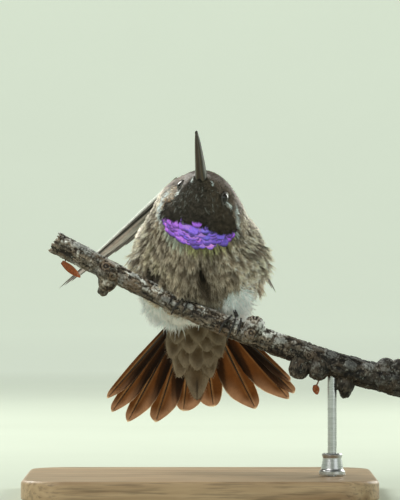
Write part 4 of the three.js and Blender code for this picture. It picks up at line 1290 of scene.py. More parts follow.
def vane(root, tip, across, face, inner, outer, oblique, rows=84, columns=19, arch=0.0, curve=0.0, droop=0.0,
         start=0.3, widen=0.24, short=4.5, power=1.0):
    """The flat vane of a long feather. At t along the shaft a web is its width x open x cut / (1 + cut^4)^1/4
    wide, where open rises evenly from start at the root to 1 at widen, and cut is ((1 - t) / oblique)^power
    for the inner web and short times the same inside for the outer one: the inner web ends in a long slant,
    and a lower power gives a rounder tip. The shaft bends sideways by curve x t^2 and down by droop x t^2,
    the webs fall away by arch x y^2, and shallow ripples run along the barbs. Returns the points (rows,
    columns, 3), t, the share across from -1 to 1, and the millimetres off the shaft."""
    long = np.linalg.norm(tip - root)
    t, w = vane_shares(rows, columns)
    opened = start + (1 - start) * np.clip(t / widen, 0, 1)
    cut = ((1 - t) / oblique) ** power
    inside = inner * opened * cut / (1 + cut**4) ** 0.25
    cut = cut * short**power
    outside = outer * (1 - 0.3 * smooth(t, 0.45, 1)) * np.sqrt(opened) * cut / (1 + cut**4) ** 0.25
    y = np.where(w > 0, w * inside, w * outside)
    frayed = noise(np.stack([t * 60, 3 * w, 0 * w], -1), 44)
    y = y * (1 - 0.012 * frayed * np.abs(w) ** 6)
    slant = t * long - 0.9 * np.abs(y)
    ripple = 0.012 * np.sin(slant * 9.0) * smooth(np.abs(y), 0.1, 0.5)
    z = ripple - arch * y**2 - droop * t**2
    axis = root + (tip - root) * t[..., None]
    points = axis + across * (y + curve * t**2)[..., None] + face * z[..., None]
    return points, t, w, y


def shaft(root, tip, across, face, thick, curve=0.0, droop=0.0, reach=0.97, rows=40, sides=8):
    """The feather's shaft: a round tube that tapers from thick at the root, on the same line as the vane."""
    t = np.linspace(-0.04, reach, rows)
    middle = root + (tip - root) * t[:, None] + across * (curve * t**2)[:, None]
    middle = middle - face * (droop * t**2)[:, None]
    radius = thick * (1 - 0.82 * np.clip(t, 0, 1))
    return tube(ring_path(middle, radius, sides, up=face))


def feather_material(name, clear, front, share):
    """The webs of long feathers: barbs drawn along the slant of the web. Clear is the part of the tone that
    light takes on its way through, front the part on the lit side, and share how much comes through."""
    sh = Shader(name)
    lie = sh.add("UVMap", uv_map="web").outputs["UV"]
    barbs = sh.noise(1.0, 2.0, where=lie, stretch=(260.0, 14.0, 1.0))
    shade = sh.times(sh.carried(), sh.ramp(barbs, [(0.3, 0.72), (0.7, 1.25)]),
                     sh.ramp(sh.noise(500, 3.0), [(0.3, 0.85), (0.7, 1.1)]))
    return sh.surface(through=sh.times(shade, clear), through_share=share,
                      Base_Color=sh.times(shade, (front, front, front * 1.05)),
                      Roughness=sh.scaled(barbs, 0.25, 0.38),
                      Normal=sh.bump(barbs, 0.4, 0.03), Specular_IOR_Level=0.4, Sheen_Weight=0.1)


def shaft_material():
    """The dark glossy shafts of long feathers."""
    sh = Shader("feather_shaft")
    fine = sh.noise(3000, 3.0)
    return sh.surface(Base_Color=sh.times(sh.carried(), sh.ramp(fine, [(0.3, 0.7), (0.7, 1.2)])),
                      Roughness=sh.scaled(fine, 0.2, 0.3), Normal=sh.bump(fine, 0.2, 0.02),
                      Specular_IOR_Level=0.5)


def web_places(t, y, long):
    """The web's map: centimetres along the barb's slant and across the feather."""
    return np.stack([(t * long - 0.9 * np.abs(y)) / 10, y / 10], -1).reshape(-1, 2)


def tail_feather(name, root, tip, across, face, inner, outer, oblique, web, horn, tones, replaced, **shape):
    """One tail feather as a piece: its vane, with tones(t, w, y), and its shaft in a finish of its own."""
    points, t, w, y = vane(root, tip, across, face, inner, outer, oblique, **shape)
    quads = sheet_faces(points, face)
    stem, stem_faces = shaft(root, tip, across, face, 0.27)
    where = np.vstack([web_places(t, y, np.linalg.norm(tip - root)), np.zeros((len(stem), 2))])
    points, faces, colours = joined([(points.reshape(-1, 3), [quads], carried(tones(t, w, y), 1.0)),
                                     (stem, stem_faces, np.array([0.020, 0.013, 0.009, 1.0]))])
    piece = make_piece(name, points, faces, web, "tail_feathers", (replaced,), colours, {"web": where})
    piece.data.materials.append(horn)
    numbers = np.zeros(len(piece.data.polygons), np.int32)
    numbers[len(quads):] = 1
    piece.data.polygons.foreach_set("material_index", numbers)


FAN_CENTRE = np.array([-0.6, 8.0, 40.8])
TAIL_SLOPE = np.radians(25)
FAN_DOWN = np.array([0, np.sin(TAIL_SLOPE), -np.cos(TAIL_SLOPE)])
FAN_BELOW = np.array([0, -np.cos(TAIL_SLOPE), -np.sin(TAIL_SLOPE)])
TAIL_ROOT = 8.2
TAIL_LAYER = 0.62
# From the middle pair outwards: angle, reach, inner web and share of the slanted end on each side, and the
# outer web.
RECTRICES = [
    {"right": (5.8, 27.7, 4.2, 0.16), "left": (7.1, 27.1, 3.8, 0.16), "outer": 3.3},
    {"right": (15.9, 31.0, 4.0, 0.25), "left": (24.1, 29.3, 5.4, 0.34), "outer": 2.6},
    {"right": (25.8, 32.7, 3.9, 0.30), "left": (37.8, 30.6, 5.2, 0.42), "outer": 2.0},
    {"right": (33.0, 32.0, 3.0, 0.28), "left": (41.2, 30.0, 1.6, 0.16), "outer": 1.7},
    {"right": (38.1, 29.7, 2.2, 0.26), "left": (44.1, 27.2, 1.4, 0.16), "outer": 1.2},
]


class TailSettings(PropertyGroup):
    """Colours of the tail and of the coverts round its root."""

    web: colour("Web", (0.088, 0.030, 0.0065), "Colour of light through the tail feathers")
    edge: colour("Edge", (0.95, 0.80, 0.58), "Thin pale edge at the tips")
    covert: colour("Covert", (0.108, 0.071, 0.036), "Centres of the undertail coverts")
    covert_edge: colour("Covert edge", (0.33, 0.27, 0.19), "Edges of the undertail coverts")


class HUMMINGBIRD_OT_tail(BirdOperator, Operator):
    """Ten tail feathers spread as a fan, each with its shaft near the outer side, the outer ones nearest
    the belly's side"""

    bl_idname = "hummingbird.tail"
    bl_label = "Tail"

    def execute(self, context):
        settings = context.scene.hummingbird_tail
        web, edge = rgb(settings.web), rgb(settings.edge)
        finish = feather_material("tail_web", (1.0, 0.92, 0.80), 0.30, 0.62)
        stem = shaft_material()
        for side, name in ((-1, "right"), (1, "left")):
            for i, spec in enumerate(RECTRICES):
                angle, reach, inner, slant = spec[name]
                angle = np.radians(angle)
                direction = np.array([side * np.sin(angle), 0, 0]) + np.cos(angle) * FAN_DOWN
                across = np.array([-side * np.cos(angle), 0, 0]) + np.sin(angle) * FAN_DOWN
                layer = (-1 if i == 0 and side > 0 else i) * TAIL_LAYER
                start = FAN_CENTRE + FAN_BELOW * layer
                root = start + direction * min(TAIL_ROOT / np.cos(angle), TAIL_ROOT * 1.18) * 0.86
                tip = start + direction * reach

                apart = np.sin(angle - np.radians(RECTRICES[max(i - 1, 0)][name][0]))
                inside = RECTRICES[max(i - 1, 0)]["outer"] if i else -9.0

                def tones(t, w, y, i=i, apart=apart, inside=inside, reach=reach):
                    grain = noise(np.stack([t * 9, y * 1.3, 0 * t + i], -1), 5)
                    shade = web * (1 + 0.2 * grain)[..., None]
                    down = TAIL_ROOT + (reach - TAIL_ROOT) * t
                    # painted shade: the web darkens where its inner neighbour lies behind it, since two
                    # layers let less light through
                    beyond = y - down * apart + inside * (1 - 0.3 * smooth(t, 0.45, 1))
                    shade = shade * (1 - 0.62 * smooth(beyond, -0.12, 0.12) * (inside > 0))[..., None]
                    shade = mix(shade, web * [0.55, 0.48, 0.45], (1 - smooth(t, 0.05, 0.45)) * 0.6)
                    tan = bell(np.abs(y), 0.32, 0.1) * np.where(y < 0, 1, 0.3)
                    shade = mix(shade, edge * [0.35, 0.25, 0.16], tan * 0.6)
                    margin = smooth(w, 0.1, 0.9) * smooth(t, 0.55, 0.85) + smooth(t, 0.84, 0.99)
                    shade = mix(shade, web * [4.0, 6.6, 18.0], np.clip(margin, 0, 1) * 0.8)
                    rim = smooth(np.abs(w), 0.95, 1.0) * smooth(t, 0.5, 0.8)
                    rim = np.maximum(rim, smooth(t, 0.975, 0.998))
                    return np.clip(mix(shade, edge, rim * 0.75), 0, 1)

                tail_feather(f"tail_{name}_{i + 1}", root, tip, across, -FAN_BELOW, inner, spec["outer"],
                             slant, finish, stem, tones, f"tail_{name}_feather_{i + 1}", arch=0.006,
                             columns=25, rows=110, widen=0.8, short=4.5 if i else 1.25,
                             power=0.78 if i else 0.52)
        return {"FINISHED"}


# Undertail coverts: tip across and down from the fan's centre, length, width and turn in degrees. The ones
# nearest the bird's root lie on top and come last.
UNDERTAIL_TIERS = [
    (0.0, 23.4, 11.5, 5.6, 0), (2.7, 18.3, 8.5, 4.4, 7), (-3.7, 18.2, 8.5, 4.2, -8),
    (-2.4, 15.9, 7.5, 4.6, -4), (2.4, 15.8, 7.5, 4.6, 5), (0.0, 16.4, 7.5, 4.6, 0),
    (-5.3, 13.6, 7.0, 4.0, -14), (4.6, 13.4, 7.0, 4.2, 12),
    (-1.6, 12.4, 6.5, 4.8, -3), (2.0, 12.0, 6.5, 4.6, 4),
    (-4.4, 10.2, 6.0, 4.4, -12), (4.4, 10.4, 6.0, 4.4, 12), (0.2, 9.8, 5.5, 4.8, 0),
]


def covert_vane(rng, root, tip, across, face, half, tones, fringe=110):
    """A soft broad covert as one (points, faces, colours): a vane whose half width rises from 0.55 half to
    half and closes as (2 - 2t)^0.6 in its second half, with loose strands round its rim."""
    rows, columns = 22, 13
    t, w = vane_shares(rows, columns)
    y = w * half * (0.55 + 0.45 * smooth(t / 0.24)) * np.clip((1 - t) / 0.5, 0, 1) ** 0.6
    points = root + (tip - root) * t[..., None] + across * y[..., None]
    points = points + face * (0.3 * t**2 - 0.07 * y**2)[..., None]
    shade = tones(t, w, y)
    row, rim = rng.integers(7, rows - 1, fringe), rng.choice([0, 0, 1, 3, 9, 11, 12, 12], fringe)
    root_end = points[row, rim]
    out = unit(root_end - points[row, columns // 2] + 1e-6)
    ahead = unit(tip - root) * rng.uniform(0.8, 1.5, (fringe, 1))
    heading = unit(ahead + out * rng.uniform(0.35, 0.8, (fringe, 1)))
    free_end = root_end + heading * rng.uniform(0.3, 0.8, (fringe, 1)) + face * 0.03
    aside = unit(np.cross(heading, face)) * 0.035
    strand = np.stack([root_end - aside, root_end + aside, free_end], 1).reshape(-1, 3)
    strand_tones = np.repeat(shade[row, rim] * rng.uniform(0.75, 1.45, (fringe, 1)), 3, 0)
    return joined([(points.reshape(-1, 3), [sheet_faces(points, face)], carried(shade, 1.0)),
                   (strand, [np.arange(fringe * 3).reshape(-1, 3)], carried(strand_tones, 1.0))])


class HUMMINGBIRD_OT_tail_coverts(BirdOperator, Operator):
    """The undertail coverts in overlapping tiers, grey-brown with pale edges, and the green ones above"""

    bl_idname = "hummingbird.tail_coverts"
    bl_label = "Tail Coverts"

    def execute(self, context):
        settings = context.scene.hummingbird_tail
        back = rgb(context.scene.hummingbird_plumage.back)
        rng = np.random.default_rng(12)
        soft = plumage_material("covert_plumage", rough=0.75, sheen=0.2, through=0.25)
        bronze = plumage_material("covert_bronze", rough=0.42, sheen=0.1, through=0.05, metal=0.35, gloss=0.5)
        groups = {
            "undertail_vanes": (UNDERTAIL_TIERS, FAN_BELOW, TAIL_LAYER * 4 + 0.55, 0.10, soft,
                                rgb(settings.covert), rgb(settings.covert_edge), "undertail_coverts"),
            "uppertail_vanes": ([(x * 0.85, d * 0.76 + 0.5, n * 0.8, w * 0.85, turn)
                                 for x, d, n, w, turn in UNDERTAIL_TIERS], -FAN_BELOW, TAIL_LAYER + 0.4, 0.08,
                                bronze, back, back * [2.2, 1.8, 1.6], "uppertail_coverts"),
        }
        for name, (tiers, face, lift, step, finish, middle_tone, edge_tone, replaced) in groups.items():
            parts = []
            for k, (x, down, long, wide, turn) in enumerate(tiers):
                a = np.radians(turn)
                along = np.array([np.sin(a), 0, 0]) + np.cos(a) * FAN_DOWN
                across = np.array([np.cos(a), 0, 0]) - np.sin(a) * FAN_DOWN
                tip = FAN_CENTRE + FAN_DOWN * down + face * (lift + step * k) + [x, 0, 0]
                root = tip - along * long - face * 0.25

                def tones(t, w, y, k=k):
                    grain = noise(np.stack([t * 4, w * 2, 0 * t + k], -1), 8)
                    shade = middle_tone * (1 + 0.2 * grain)[..., None]
                    rim = np.maximum(smooth(np.abs(w), 0.15, 0.95), smooth(t, 0.55, 1.0))
                    shade = mix(shade, edge_tone, np.clip(rim * (0.8 + 0.35 * grain), 0, 1))
                    dark = (1 - smooth(np.abs(y), 0.0, 0.2)) * smooth(t, 0.5, 0.7) * (k == 0)
                    return mix(shade, middle_tone * 0.25, dark * 0.9)

                parts.append(covert_vane(rng, root, tip, across, face, wide / 2, tones))
            points, faces, colours = joined(parts)
            points = clear_of_twig(points, 0.1)
            make_piece(name, points, faces, finish, "tail_coverts", (replaced,), colours)
        return {"FINISHED"}


PRIMARIES, SECONDARIES = 10, 6
# Rows of upper wing coverts: place across the blade, length, and first and last place along it.
WING_COVERT_ROWS = ((5.0, 5.4, 0.5, 11.0), (4.2, 4.4, 0.0, 10.5), (3.4, 3.4, -0.4, 9.5),
                    (2.6, 2.8, -0.6, 9.0), (1.9, 2.4, -0.8, 8.5), (1.3, 2.0, -1.0, 8.0))


class WingSettings(PropertyGroup):
    """Colours of the wings."""

    web: colour("Web", (0.33, 0.275, 0.25), "Colour of the flight feathers")
    under: colour("Under coverts", (0.66, 0.555, 0.54), "Pinkish grey of the wing's lower side")
    # the edge colour is the painted highlight along the wing's leading edge; it also tints the outer webs of
    # the flight feathers a little
    edge: colour("Edge", (0.93, 0.93, 0.90), "Pale leading edge of the wing")
    covert: colour("Covert", (0.075, 0.095, 0.045), "Coverts of the upper wing")


class HUMMINGBIRD_OT_wings(BirdOperator, Operator):
    """Both wings: ten primaries whose tips step back from the wing's tip, six secondaries, and rows of
    coverts over their roots"""

    bl_idname = "hummingbird.wings"
    bl_label = "Wings"

    def execute(self, context):
        settings = context.scene.hummingbird_wings
        web, edge, covert = rgb(settings.web), rgb(settings.edge), rgb(settings.covert)
        rng = np.random.default_rng(21)
        finish = feather_material("wing_web", (1.0, 0.93, 0.92), 0.95, 0.2)
        bronze = plumage_material("wing_covert_bronze", rough=0.45, sheen=0.1, through=0.05, metal=0.25,
                                  gloss=0.5)
        for name, (_, _, face, back, span) in WING_AXES.items():
            parts = {"primaries": [], "secondaries": []}
            for k in range(PRIMARIES):
                step = k / (PRIMARIES - 1)
                reach = span * (1 - 0.015 * k - 0.40 * step**1.6)
                root = wing_point(name, 0.8 - 0.6 * step, 0.3 + 2.9 * step, 0.22 - 0.055 * k)
                tip = wing_point(name, reach, -0.15 + 5.2 * step**0.9, 0.22 - 0.055 * k)
                parts["primaries"].append((root, tip, 2.1 - 0.4 * step, 0.55, k))
            for k in range(SECONDARIES):
                step = k / (SECONDARIES - 1)
                root = wing_point(name, 1.0 - 0.8 * step, 3.4 + 1.5 * step, 0.62 - 0.05 * k)
                tip = wing_point(name, 18.2 - 5.5 * step, 5.6 + 1.0 * step, 0.62 - 0.05 * k)
                parts["secondaries"].append((root, tip, 1.7, 0.8, k))
            for group, feathers in parts.items():
                pieces = []
                for root, tip, inner, outer, k in feathers:
                    axis = unit(tip - root)
                    across = unit(np.cross(axis, face))
                    across = across * np.sign(across.dot(back))
                    points, t, w, y = vane(root, tip, across, face, inner, outer, 0.34 if k else 0.5, rows=70,
                                           columns=15, arch=0.012, curve=0.35, start=0.8, widen=0.12)
                    grain = noise(np.stack([t * 8, y, 0 * t + k], -1), 9)
                    shade = web * (1 + 0.14 * grain)[..., None]
                    shade = mix(shade, web * 0.6, (1 - smooth(np.abs(y), 0.0, 0.35)) * 0.6)
                    rim = smooth(w, 0.90, 1.0) * 0.5
                    lead = smooth(-w, 0.2, 0.7) * 0.2
                    shade = mix(mix(shade, web * 1.9, rim), edge, lead)
                    shade = mix(shade, web * 0.5, smooth(t, 0.85, 1.0) * 0.7)
                    pieces.append((points.reshape(-1, 3), [sheet_faces(points, face)],
                                   carried(np.clip(shade, 0, 1), 1.0),
                                   web_places(t, y, np.linalg.norm(tip - root))))
                    stem, stem_faces = shaft(root, tip, across, face, 0.19 if k else 0.26, curve=0.35)
                    stem_tone = np.array([*(web * (0.4 if k else 0.12)), 1.0])
                    pieces.append((stem, stem_faces, stem_tone, np.zeros((len(stem), 2))))
                points, faces, colours = joined([p[:3] for p in pieces])
                make_piece(f"wing_{name}_{group}_webs", points, faces, finish, "wing_feathers",
                           (f"wing_{name}_{group}",), colours, {"web": np.vstack([p[3] for p in pieces])})
            self.coverts(name, rng, bronze, covert, edge, rgb(settings.under))
        return {"FINISHED"}

    def coverts(self, name, rng, finish, covert, edge, under):
        """Rows of small scale-like feathers over the wing's upper side, smaller towards the front edge."""
        shapes = [scale(rng, rows=6, columns=5, half=0.36, fringe=5) for _ in range(3)]
        _, forward, face, back, _ = WING_AXES[name]
        parts = []
        for row, (across, long, first, last) in enumerate(WING_COVERT_ROWS):
            for k, at in enumerate(np.arange(first, last, long * 0.34)):
                shape = shapes[(row + k) % 3]
                size = long * rng.normal(1, 0.06)
                lie = unit(forward * 0.93 + back * (0.16 + 0.05 * row) + face * 0.02)
                aside = unit(np.cross(face, lie))
                root = wing_point(name, at, across + rng.normal(0, 0.1), 0.75 - 0.03 * row)
                p = shape.points * size
                points = root + lie * p[:, :1] + aside * p[:, 1:2]
                points = points + face * (p[:, 2:] + 0.10 * shape.points[:, :1])
                t = shape.along[:, None]
                shade = covert * (0.55 + 0.6 * smooth(t, 0.1, 0.6)) * (1 + 0.3 * shape.tint[:, None])
                shade = mix(shade, covert * 2.4, smooth(t[:, 0], 0.8, 1.0) * 0.7) * rng.normal(1, 0.12)
                flip = np.cross(lie, aside).dot(face) < 0
                parts.append((points, flipped(shape.faces) if flip else shape.faces,
                              carried(np.clip(shade, 0.003, 1), t)))

        # the leading edge, one tube from before the wrist, with a painted highlight on the side that looks
        # forward
        rows, sides = 70, 10
        # bright sets the strength of the painted highlight on the leading edge: full on the right wing,
        # weaker on the left
        before, thick, bright = (4.6, 0.31, 1.0) if name == "right" else (1.2, 0.27, 0.6)
        along = np.linspace(-before, 36, rows)
        lift = 1.0 + 0.25 * (1 - smooth(along, -5, 3)) - 0.02 * along
        line = wing_point(name, along, np.zeros(rows), lift)
        radius = thick * (0.25 + 0.75 * smooth(along, -before, 0.5 - before))
        radius = radius * (1 - 0.35 * smooth(along, 0, 26)) * (1 - 0.8 * smooth(along, 26, 36))
        radius = radius * (0.6 + 0.4 * smooth(along, -1.0, 1.5))
        points, faces = tube(ring_path(line, radius, sides, up=face))
        ahead = np.vstack([np.repeat(line, sides, 0), line[:1], line[-1:]])
        lit = smooth((points - ahead) @ unit(-back - 0.4 * face), -0.15, 0.10)
        reach = np.concatenate([np.repeat(along, sides), along[:1], along[-1:]])
        lit = (0.15 + 0.85 * lit) * smooth(reach, -2.0, 1.0) * bright
        shade = mix(np.tile(covert * 2.0, (len(points), 1)), edge, lit)
        parts.append((points, faces, carried(shade, 1.0)))

        # the under coverts, one soft sheet from the leading edge down and back under the primaries
        along, share = np.meshgrid(np.linspace(1 - before, 35, rows), np.linspace(0, 1, 15), indexing="ij")
        high = 1.0 - 0.02 * along
        wide = (0.1 + 3.1 * share) * (1 - 0.75 * smooth(along, 18, 35))
        points = wing_point(name, along, wide, high + (-0.42 - high) * smooth(share, 0, 0.32))
        grain = 1 + 0.15 * noise(np.stack([along * 0.8, 9 * share, 0 * share], -1), 61)
        dark = bell(share, 0.12, 0.05) + 0.7 * smooth(share, 0.86, 0.94)
        dark = np.clip(dark + 0.4 * bell(share, 0.66, 0.03), 0, 1)
        shade = mix(under * grain[..., None], under * 0.15, dark)
        parts.append((points.reshape(-1, 3), [sheet_faces(points, -back - face)], carried(shade, 1.0)))
        points, faces, colours = joined(parts)
        make_piece(f"wing_{name}_covert_scales", points, faces, finish, "wing_feathers",
                   (f"wing_{name}_coverts",), colours)


# ---- the perch
class PerchSettings(PropertyGroup):
    """Colours of the twig and of the feet on it."""

    bark: colour("Bark", (0.160, 0.128, 0.095), "Brown-grey of the bark")
    # the pale grey of weathering and lichen is also laid on the twig's upper side as painted light
    pale: colour("Pale bark", (0.56, 0.57, 0.55), "Weathered grey and lichen on the bark")
    # the crack colour is painted shade in the bark's cracks and scar grooves
    crack_shade: colour("Crack", (0.014, 0.010, 0.008), "Dark of the cracks")
    wood: colour("Wood", (0.46, 0.34, 0.21), "Bare wood at the two ends")
    bud: colour("Bud scale", (0.36, 0.10, 0.03), "Rust brown of the bud scales")
    foot: colour("Foot", (0.022, 0.018, 0.015), "Dark scaly skin of the feet")


# Ring-shaped scars: x, z on the front of the twig in millimetres, radius.
SCARS = [(10.1, 32.4, 1.3), (10.9, 35.4, 1.1), (-18.6, 45.6, 1.2), (-17.2, 43.6, 1.0), (21.5, 28.0, 1.0)]

KNOT_SOFTNESS = 0.35  # millimetres over which a knot runs into the stem


def twig_girth(along, angle):
    """The stem's radius with its knots: the greatest distance at which the ray from the stem's line still
    meets a knot's ball, joined softly to the round stem."""
    middle, _, front, over, radius = twig_axes(along)
    a = np.radians(angle)
    ray = front * np.cos(a)[..., None] + over * np.sin(a)[..., None]
    lobes = 1 + 0.05 * np.sin(2 * a + 9 * along) + 0.03 * np.sin(3 * a - 14 * along + 1)
    girth = radius * lobes
    for centre, ball in zip(KNOT_MIDDLES, KNOTS[:, 2]):
        to_ball = centre - middle
        ahead = np.sum(ray * to_ball, axis=-1)
        inside = ball**2 - np.sum(to_ball**2, axis=-1) + ahead**2
        reach = np.where(inside > 0, ahead + np.sqrt(np.maximum(inside, 0)), 0)
        h = np.clip(0.5 + 0.5 * (reach - girth) / KNOT_SOFTNESS, 0, 1)
        girth = girth * (1 - h) + reach * h + KNOT_SOFTNESS * h * (1 - h)
    return girth


def bark_material(name):
    """Bark in the colours that it carries, with fine cracks and specks of lichen."""
    sh = Shader(name)
    fine = sh.noise(3200, 5.0, roughness=0.65)
    shade = sh.times(sh.carried(), sh.ramp(fine, [(0.32, 0.55), (0.5, 1.0), (0.72, 1.45)]))
    lichen = sh.ramp(sh.noise(1500, 4.0), [(0.60, 0.0), (0.68, 1.0)])
    lichen = sh.scaled(sh.add("SeparateColor", {"Color": lichen}).outputs[0], 0.35)
    shade = sh.blend("MIX", lichen, shade, (0.40, 0.42, 0.37))
    return sh.surface(Base_Color=shade, Roughness=sh.scaled(fine, 0.2, 0.5),
                      Normal=sh.bump(fine, 0.6, 0.10), Specular_IOR_Level=0.25)


# Bud scales: side, share along the twig, drop below the bark, direction, length and width.
BUD_SCALES = (("left", 0.036, 0.4, (0.766, 0, -0.643), 4.8, 1.3),
              ("right", 0.735, 2.1, (0.208, 0, -0.978), 2.0, 1.2))


class HUMMINGBIRD_OT_twig(BirdOperator, Operator):
    """The twig: a round stem with knots, long ridges, cracks, ring scars, a torn end and a sawn end"""

    bl_idname = "hummingbird.twig"
    bl_label = "Twig"

    def execute(self, context):
        settings = context.scene.hummingbird_perch
        bark, pale, crack_shade, wood = (rgb(getattr(settings, k)) for k in ("bark", "pale", "crack_shade", "wood"))
        rows, columns, ends = 860, 100, 14
        along = np.concatenate([np.zeros(ends), np.linspace(0, 1, rows), np.ones(ends)])
        share = np.concatenate([np.linspace(0.04, 0.97, ends), np.ones(rows), np.linspace(0.97, 0.04, ends)])
        along, share = along[:, None] + np.zeros(columns), share[:, None] + np.zeros(columns)
        angle = np.zeros_like(along) + np.linspace(0, 360, columns, endpoint=False)
        a = np.radians(angle)
        girth = twig_girth(along, angle)
        span = along * 80
        round_place = np.stack([np.cos(a) * girth, np.sin(a) * girth, span * 0.32], -1)
        skin_place = np.stack([np.cos(a) * girth, np.sin(a) * girth, span], -1)
        ridges = noise(round_place * 1.1, 31) + 0.5 * noise(round_place * 2.3, 32)
        cracks = noise(round_place * [1.6, 1.6, 1.3], 33) + 0.35 * noise(skin_place * 2.2, 34)
        cracks = np.clip(1 - np.abs(cracks) * 3.2, 0, 1) ** 2
        lumps = noise(skin_place * 0.8, 35)
        grit = layered_noise(skin_place * 3.4, 3, 36)
        bands = np.clip(np.sin(span * 3.1 + 2.5 * noise(skin_place * 0.35, 37)), 0, 1) ** 6
        bands = bands * smooth(noise(skin_place * 0.22, 38), 0.0, 0.5)
        pits = smooth(noise(skin_place * 1.7, 46), 0.5, 0.8)
        relief = 0.14 * ridges + 0.09 * lumps + 0.06 * grit - 0.22 * cracks + 0.10 * bands - 0.15 * pits
        points = twig_point(along, angle, girth)
        rings = np.zeros_like(girth)
        for x, z, size in SCARS:
            away = np.hypot(points[..., 0] - x, points[..., 2] - z)
            away = away * (1 + 0.25 * noise(skin_place * 1.3, 48))
            near = bell(away, 0, size, 4) * (points[..., 1] < -7.2)
            rings = np.maximum(rings, near)
            relief = relief * (1 - 0.45 * near) + near * 0.14 * np.cos(2 * np.pi * away / (size * 0.6))
        on_side = (share > 0.985) * 1.0
        torn = smooth(0.0125 - along, 0, 0.0125)
        reach = (girth + relief * on_side) * share
        points = twig_point(along, angle, reach)
        forward = twig_axes(along)[1]
        fibres = noise(np.stack([np.cos(a) * reach * 1.5, np.sin(a) * reach * 1.5, 0 * a], -1), 39)
        ragged = noise(np.stack([np.cos(a) * reach * 4, np.sin(a) * reach * 4, 0 * a], -1), 40)
        points = points - forward * (torn * (0.75 * fibres + 0.5 * ragged - 0.35))[..., None]
        cut = (along > 0.999) * (share < 0.99)
        points = points - forward * (cut * 0.03 * np.cos(reach * 7.5))[..., None]

        # painted light from above: up is how much a point faces upwards; the upper side turns paler grey and,
        # further down, lighter, on top of the grey of weathering and lichen on raised bark
        up = smooth(np.sin(a), -0.5, 0.9)
        grey = smooth(relief + 0.10 * up + 0.06 * lumps, 0.02, 0.16)
        shade = mix(bark, pale, grey * (0.3 + 0.65 * up))
        patch = 0.75 * layered_noise(round_place * 1.3, 3, 47) + 0.4 * layered_noise(skin_place * 1.2, 2, 49)
        shade = shade * (np.exp(0.95 * patch) * (1 + 0.4 * grit))[..., None]
        warm = smooth(noise(skin_place * 0.5, 41), 0.1, 0.6)
        shade = mix(shade, bark * [1.25, 1.0, 0.8], warm * 0.5)
        shade = mix(shade, bark * [1.45, 1.15, 0.85], rings * 0.6)
        # painted shade in the cracks and hollows, darker the deeper they are, and in the grooves of the ring
        # scars
        shade = mix(shade, crack_shade, smooth(-relief, 0.02, 0.15) * 0.92)
        shade = mix(shade, crack_shade * 2, rings * smooth(-relief, 0.0, 0.1) * 0.8)
        # painted light and shadow: lighter on top and darker below, and a painted shadow that darkens the
        # twig from 0.46 of its length on to its sawn end
        shade = shade * ((0.72 + 0.40 * up) * (1 - 0.70 * smooth(along, 0.46, 0.80)))[..., None]
        bare = (share < 0.93) * (0.6 * torn + cut)
        year = 0.82 + 0.18 * np.cos(reach * 15)
        shade = mix(shade, wood * year[..., None] * (1 - 0.45 * torn)[..., None], np.clip(bare, 0, 1))
        points, faces = tube(points)
        shade = np.vstack([shade.reshape(-1, 3), shade[0, 0], shade[-1, 0]])
        make_piece("perch_twig_bark", points, faces, bark_material("twig_bark"), "bark", ("perch_twig",),
                   carried(np.clip(shade, 0.004, 1)))

        finish = bark_material("bud_scale_paper")
        for name, at, drop, down, long, wide in BUD_SCALES:
            stem, start = self.under(at, -0.8), self.under(at, drop)
            self.bud_scale(name, stem, start, np.array(down), long, wide, rgb(settings.bud), finish)
        return {"FINISHED"}

    def under(self, along, drop):
        """A place under the twig."""
        radius = twig_axes(np.array(along))[4]
        return twig_point(np.array(along), np.array(-90.0), radius + drop + 0.3)

    def bud_scale(self, name, stem, start, down, long, wide, bud, finish):
        """A dry scale on a short stalk: a leaf-shaped cup, width sin(pi t), folded along its middle."""
        n, m = 26, 13
        across = np.cross(down, [0, 1.0, 0])
        t, w = np.meshgrid(np.linspace(0, 1, n), np.linspace(-1, 1, m), indexing="ij")
        half = 0.10 + wide / 2 * np.sin(np.pi * np.clip(0.10 + 0.9 * t, 0, 1)) ** 0.8
        cup = 0.45 * np.abs(w) ** 1.5 * half + 0.25 * np.sin(t * 5 + w) * half
        middle = start + down * (t * long)[..., None] + across * (half * w)[..., None]
        sides = [(middle + [0, -1.0, 0] * (cup + way)[..., None]).reshape(-1, 3) for way in (-0.05, 0.05)]
        rim = np.concatenate([np.arange(m), m - 1 + m * np.arange(1, n), n * m - 2 - np.arange(m - 1),
                              m * np.arange(n - 2, 0, -1)])
        walls = np.stack([rim, np.roll(rim, -1), np.roll(rim, -1) + n * m, rim + n * m], -1)
        faces = [np.vstack([grid_faces(n, m)[:, ::-1], grid_faces(n, m) + n * m, walls])]
        shade = mix(bud, bud * 0.35, np.clip(1 - t, 0, 1) * 0.6 + 0.25 * (np.sin(w * 14) > 0.3))
        points = np.vstack(sides)
        t = np.linspace(0, 1, 12)[:, None]
        path = stem * (1 - t) + (start + down * 0.5) * t + [0.25, 0.1, 0] * np.sin(np.pi * t)
        stalk, stalk_faces = tube(ring_path(path, 0.14, 7))
        parts = [(points, oriented(points, faces), carried(np.tile(shade.reshape(-1, 3), (2, 1)))),
                 (stalk, stalk_faces, np.array([*(bud * 0.5), 0.5]))]
        points, faces, colours = joined(parts)
        make_piece(f"perch_bud_scale_{name}_leaf", points, faces, finish, "bud_scale",
                   (f"perch_bud_scale_{name}",), colours)


# ---- the feet
# Share along the twig, the tips' distances from it, how far round each toe reaches in degrees, and the hip.
FEET = {
    "right": {"along": 0.342, "toes": (-0.028, -0.012, 0.012), "reach": (102, 165, 108),
              "hip": (-4.6, 0.4, 43.6)},
    "left": {"along": 0.481, "toes": (-0.026, -0.003, 0.014), "reach": (142, 165, 118),
             "hip": (4.8, 0.6, 42.4)},
}
TOE_APART = 0.0125
HIND_REACH = 96
TOE_SIDES = 14


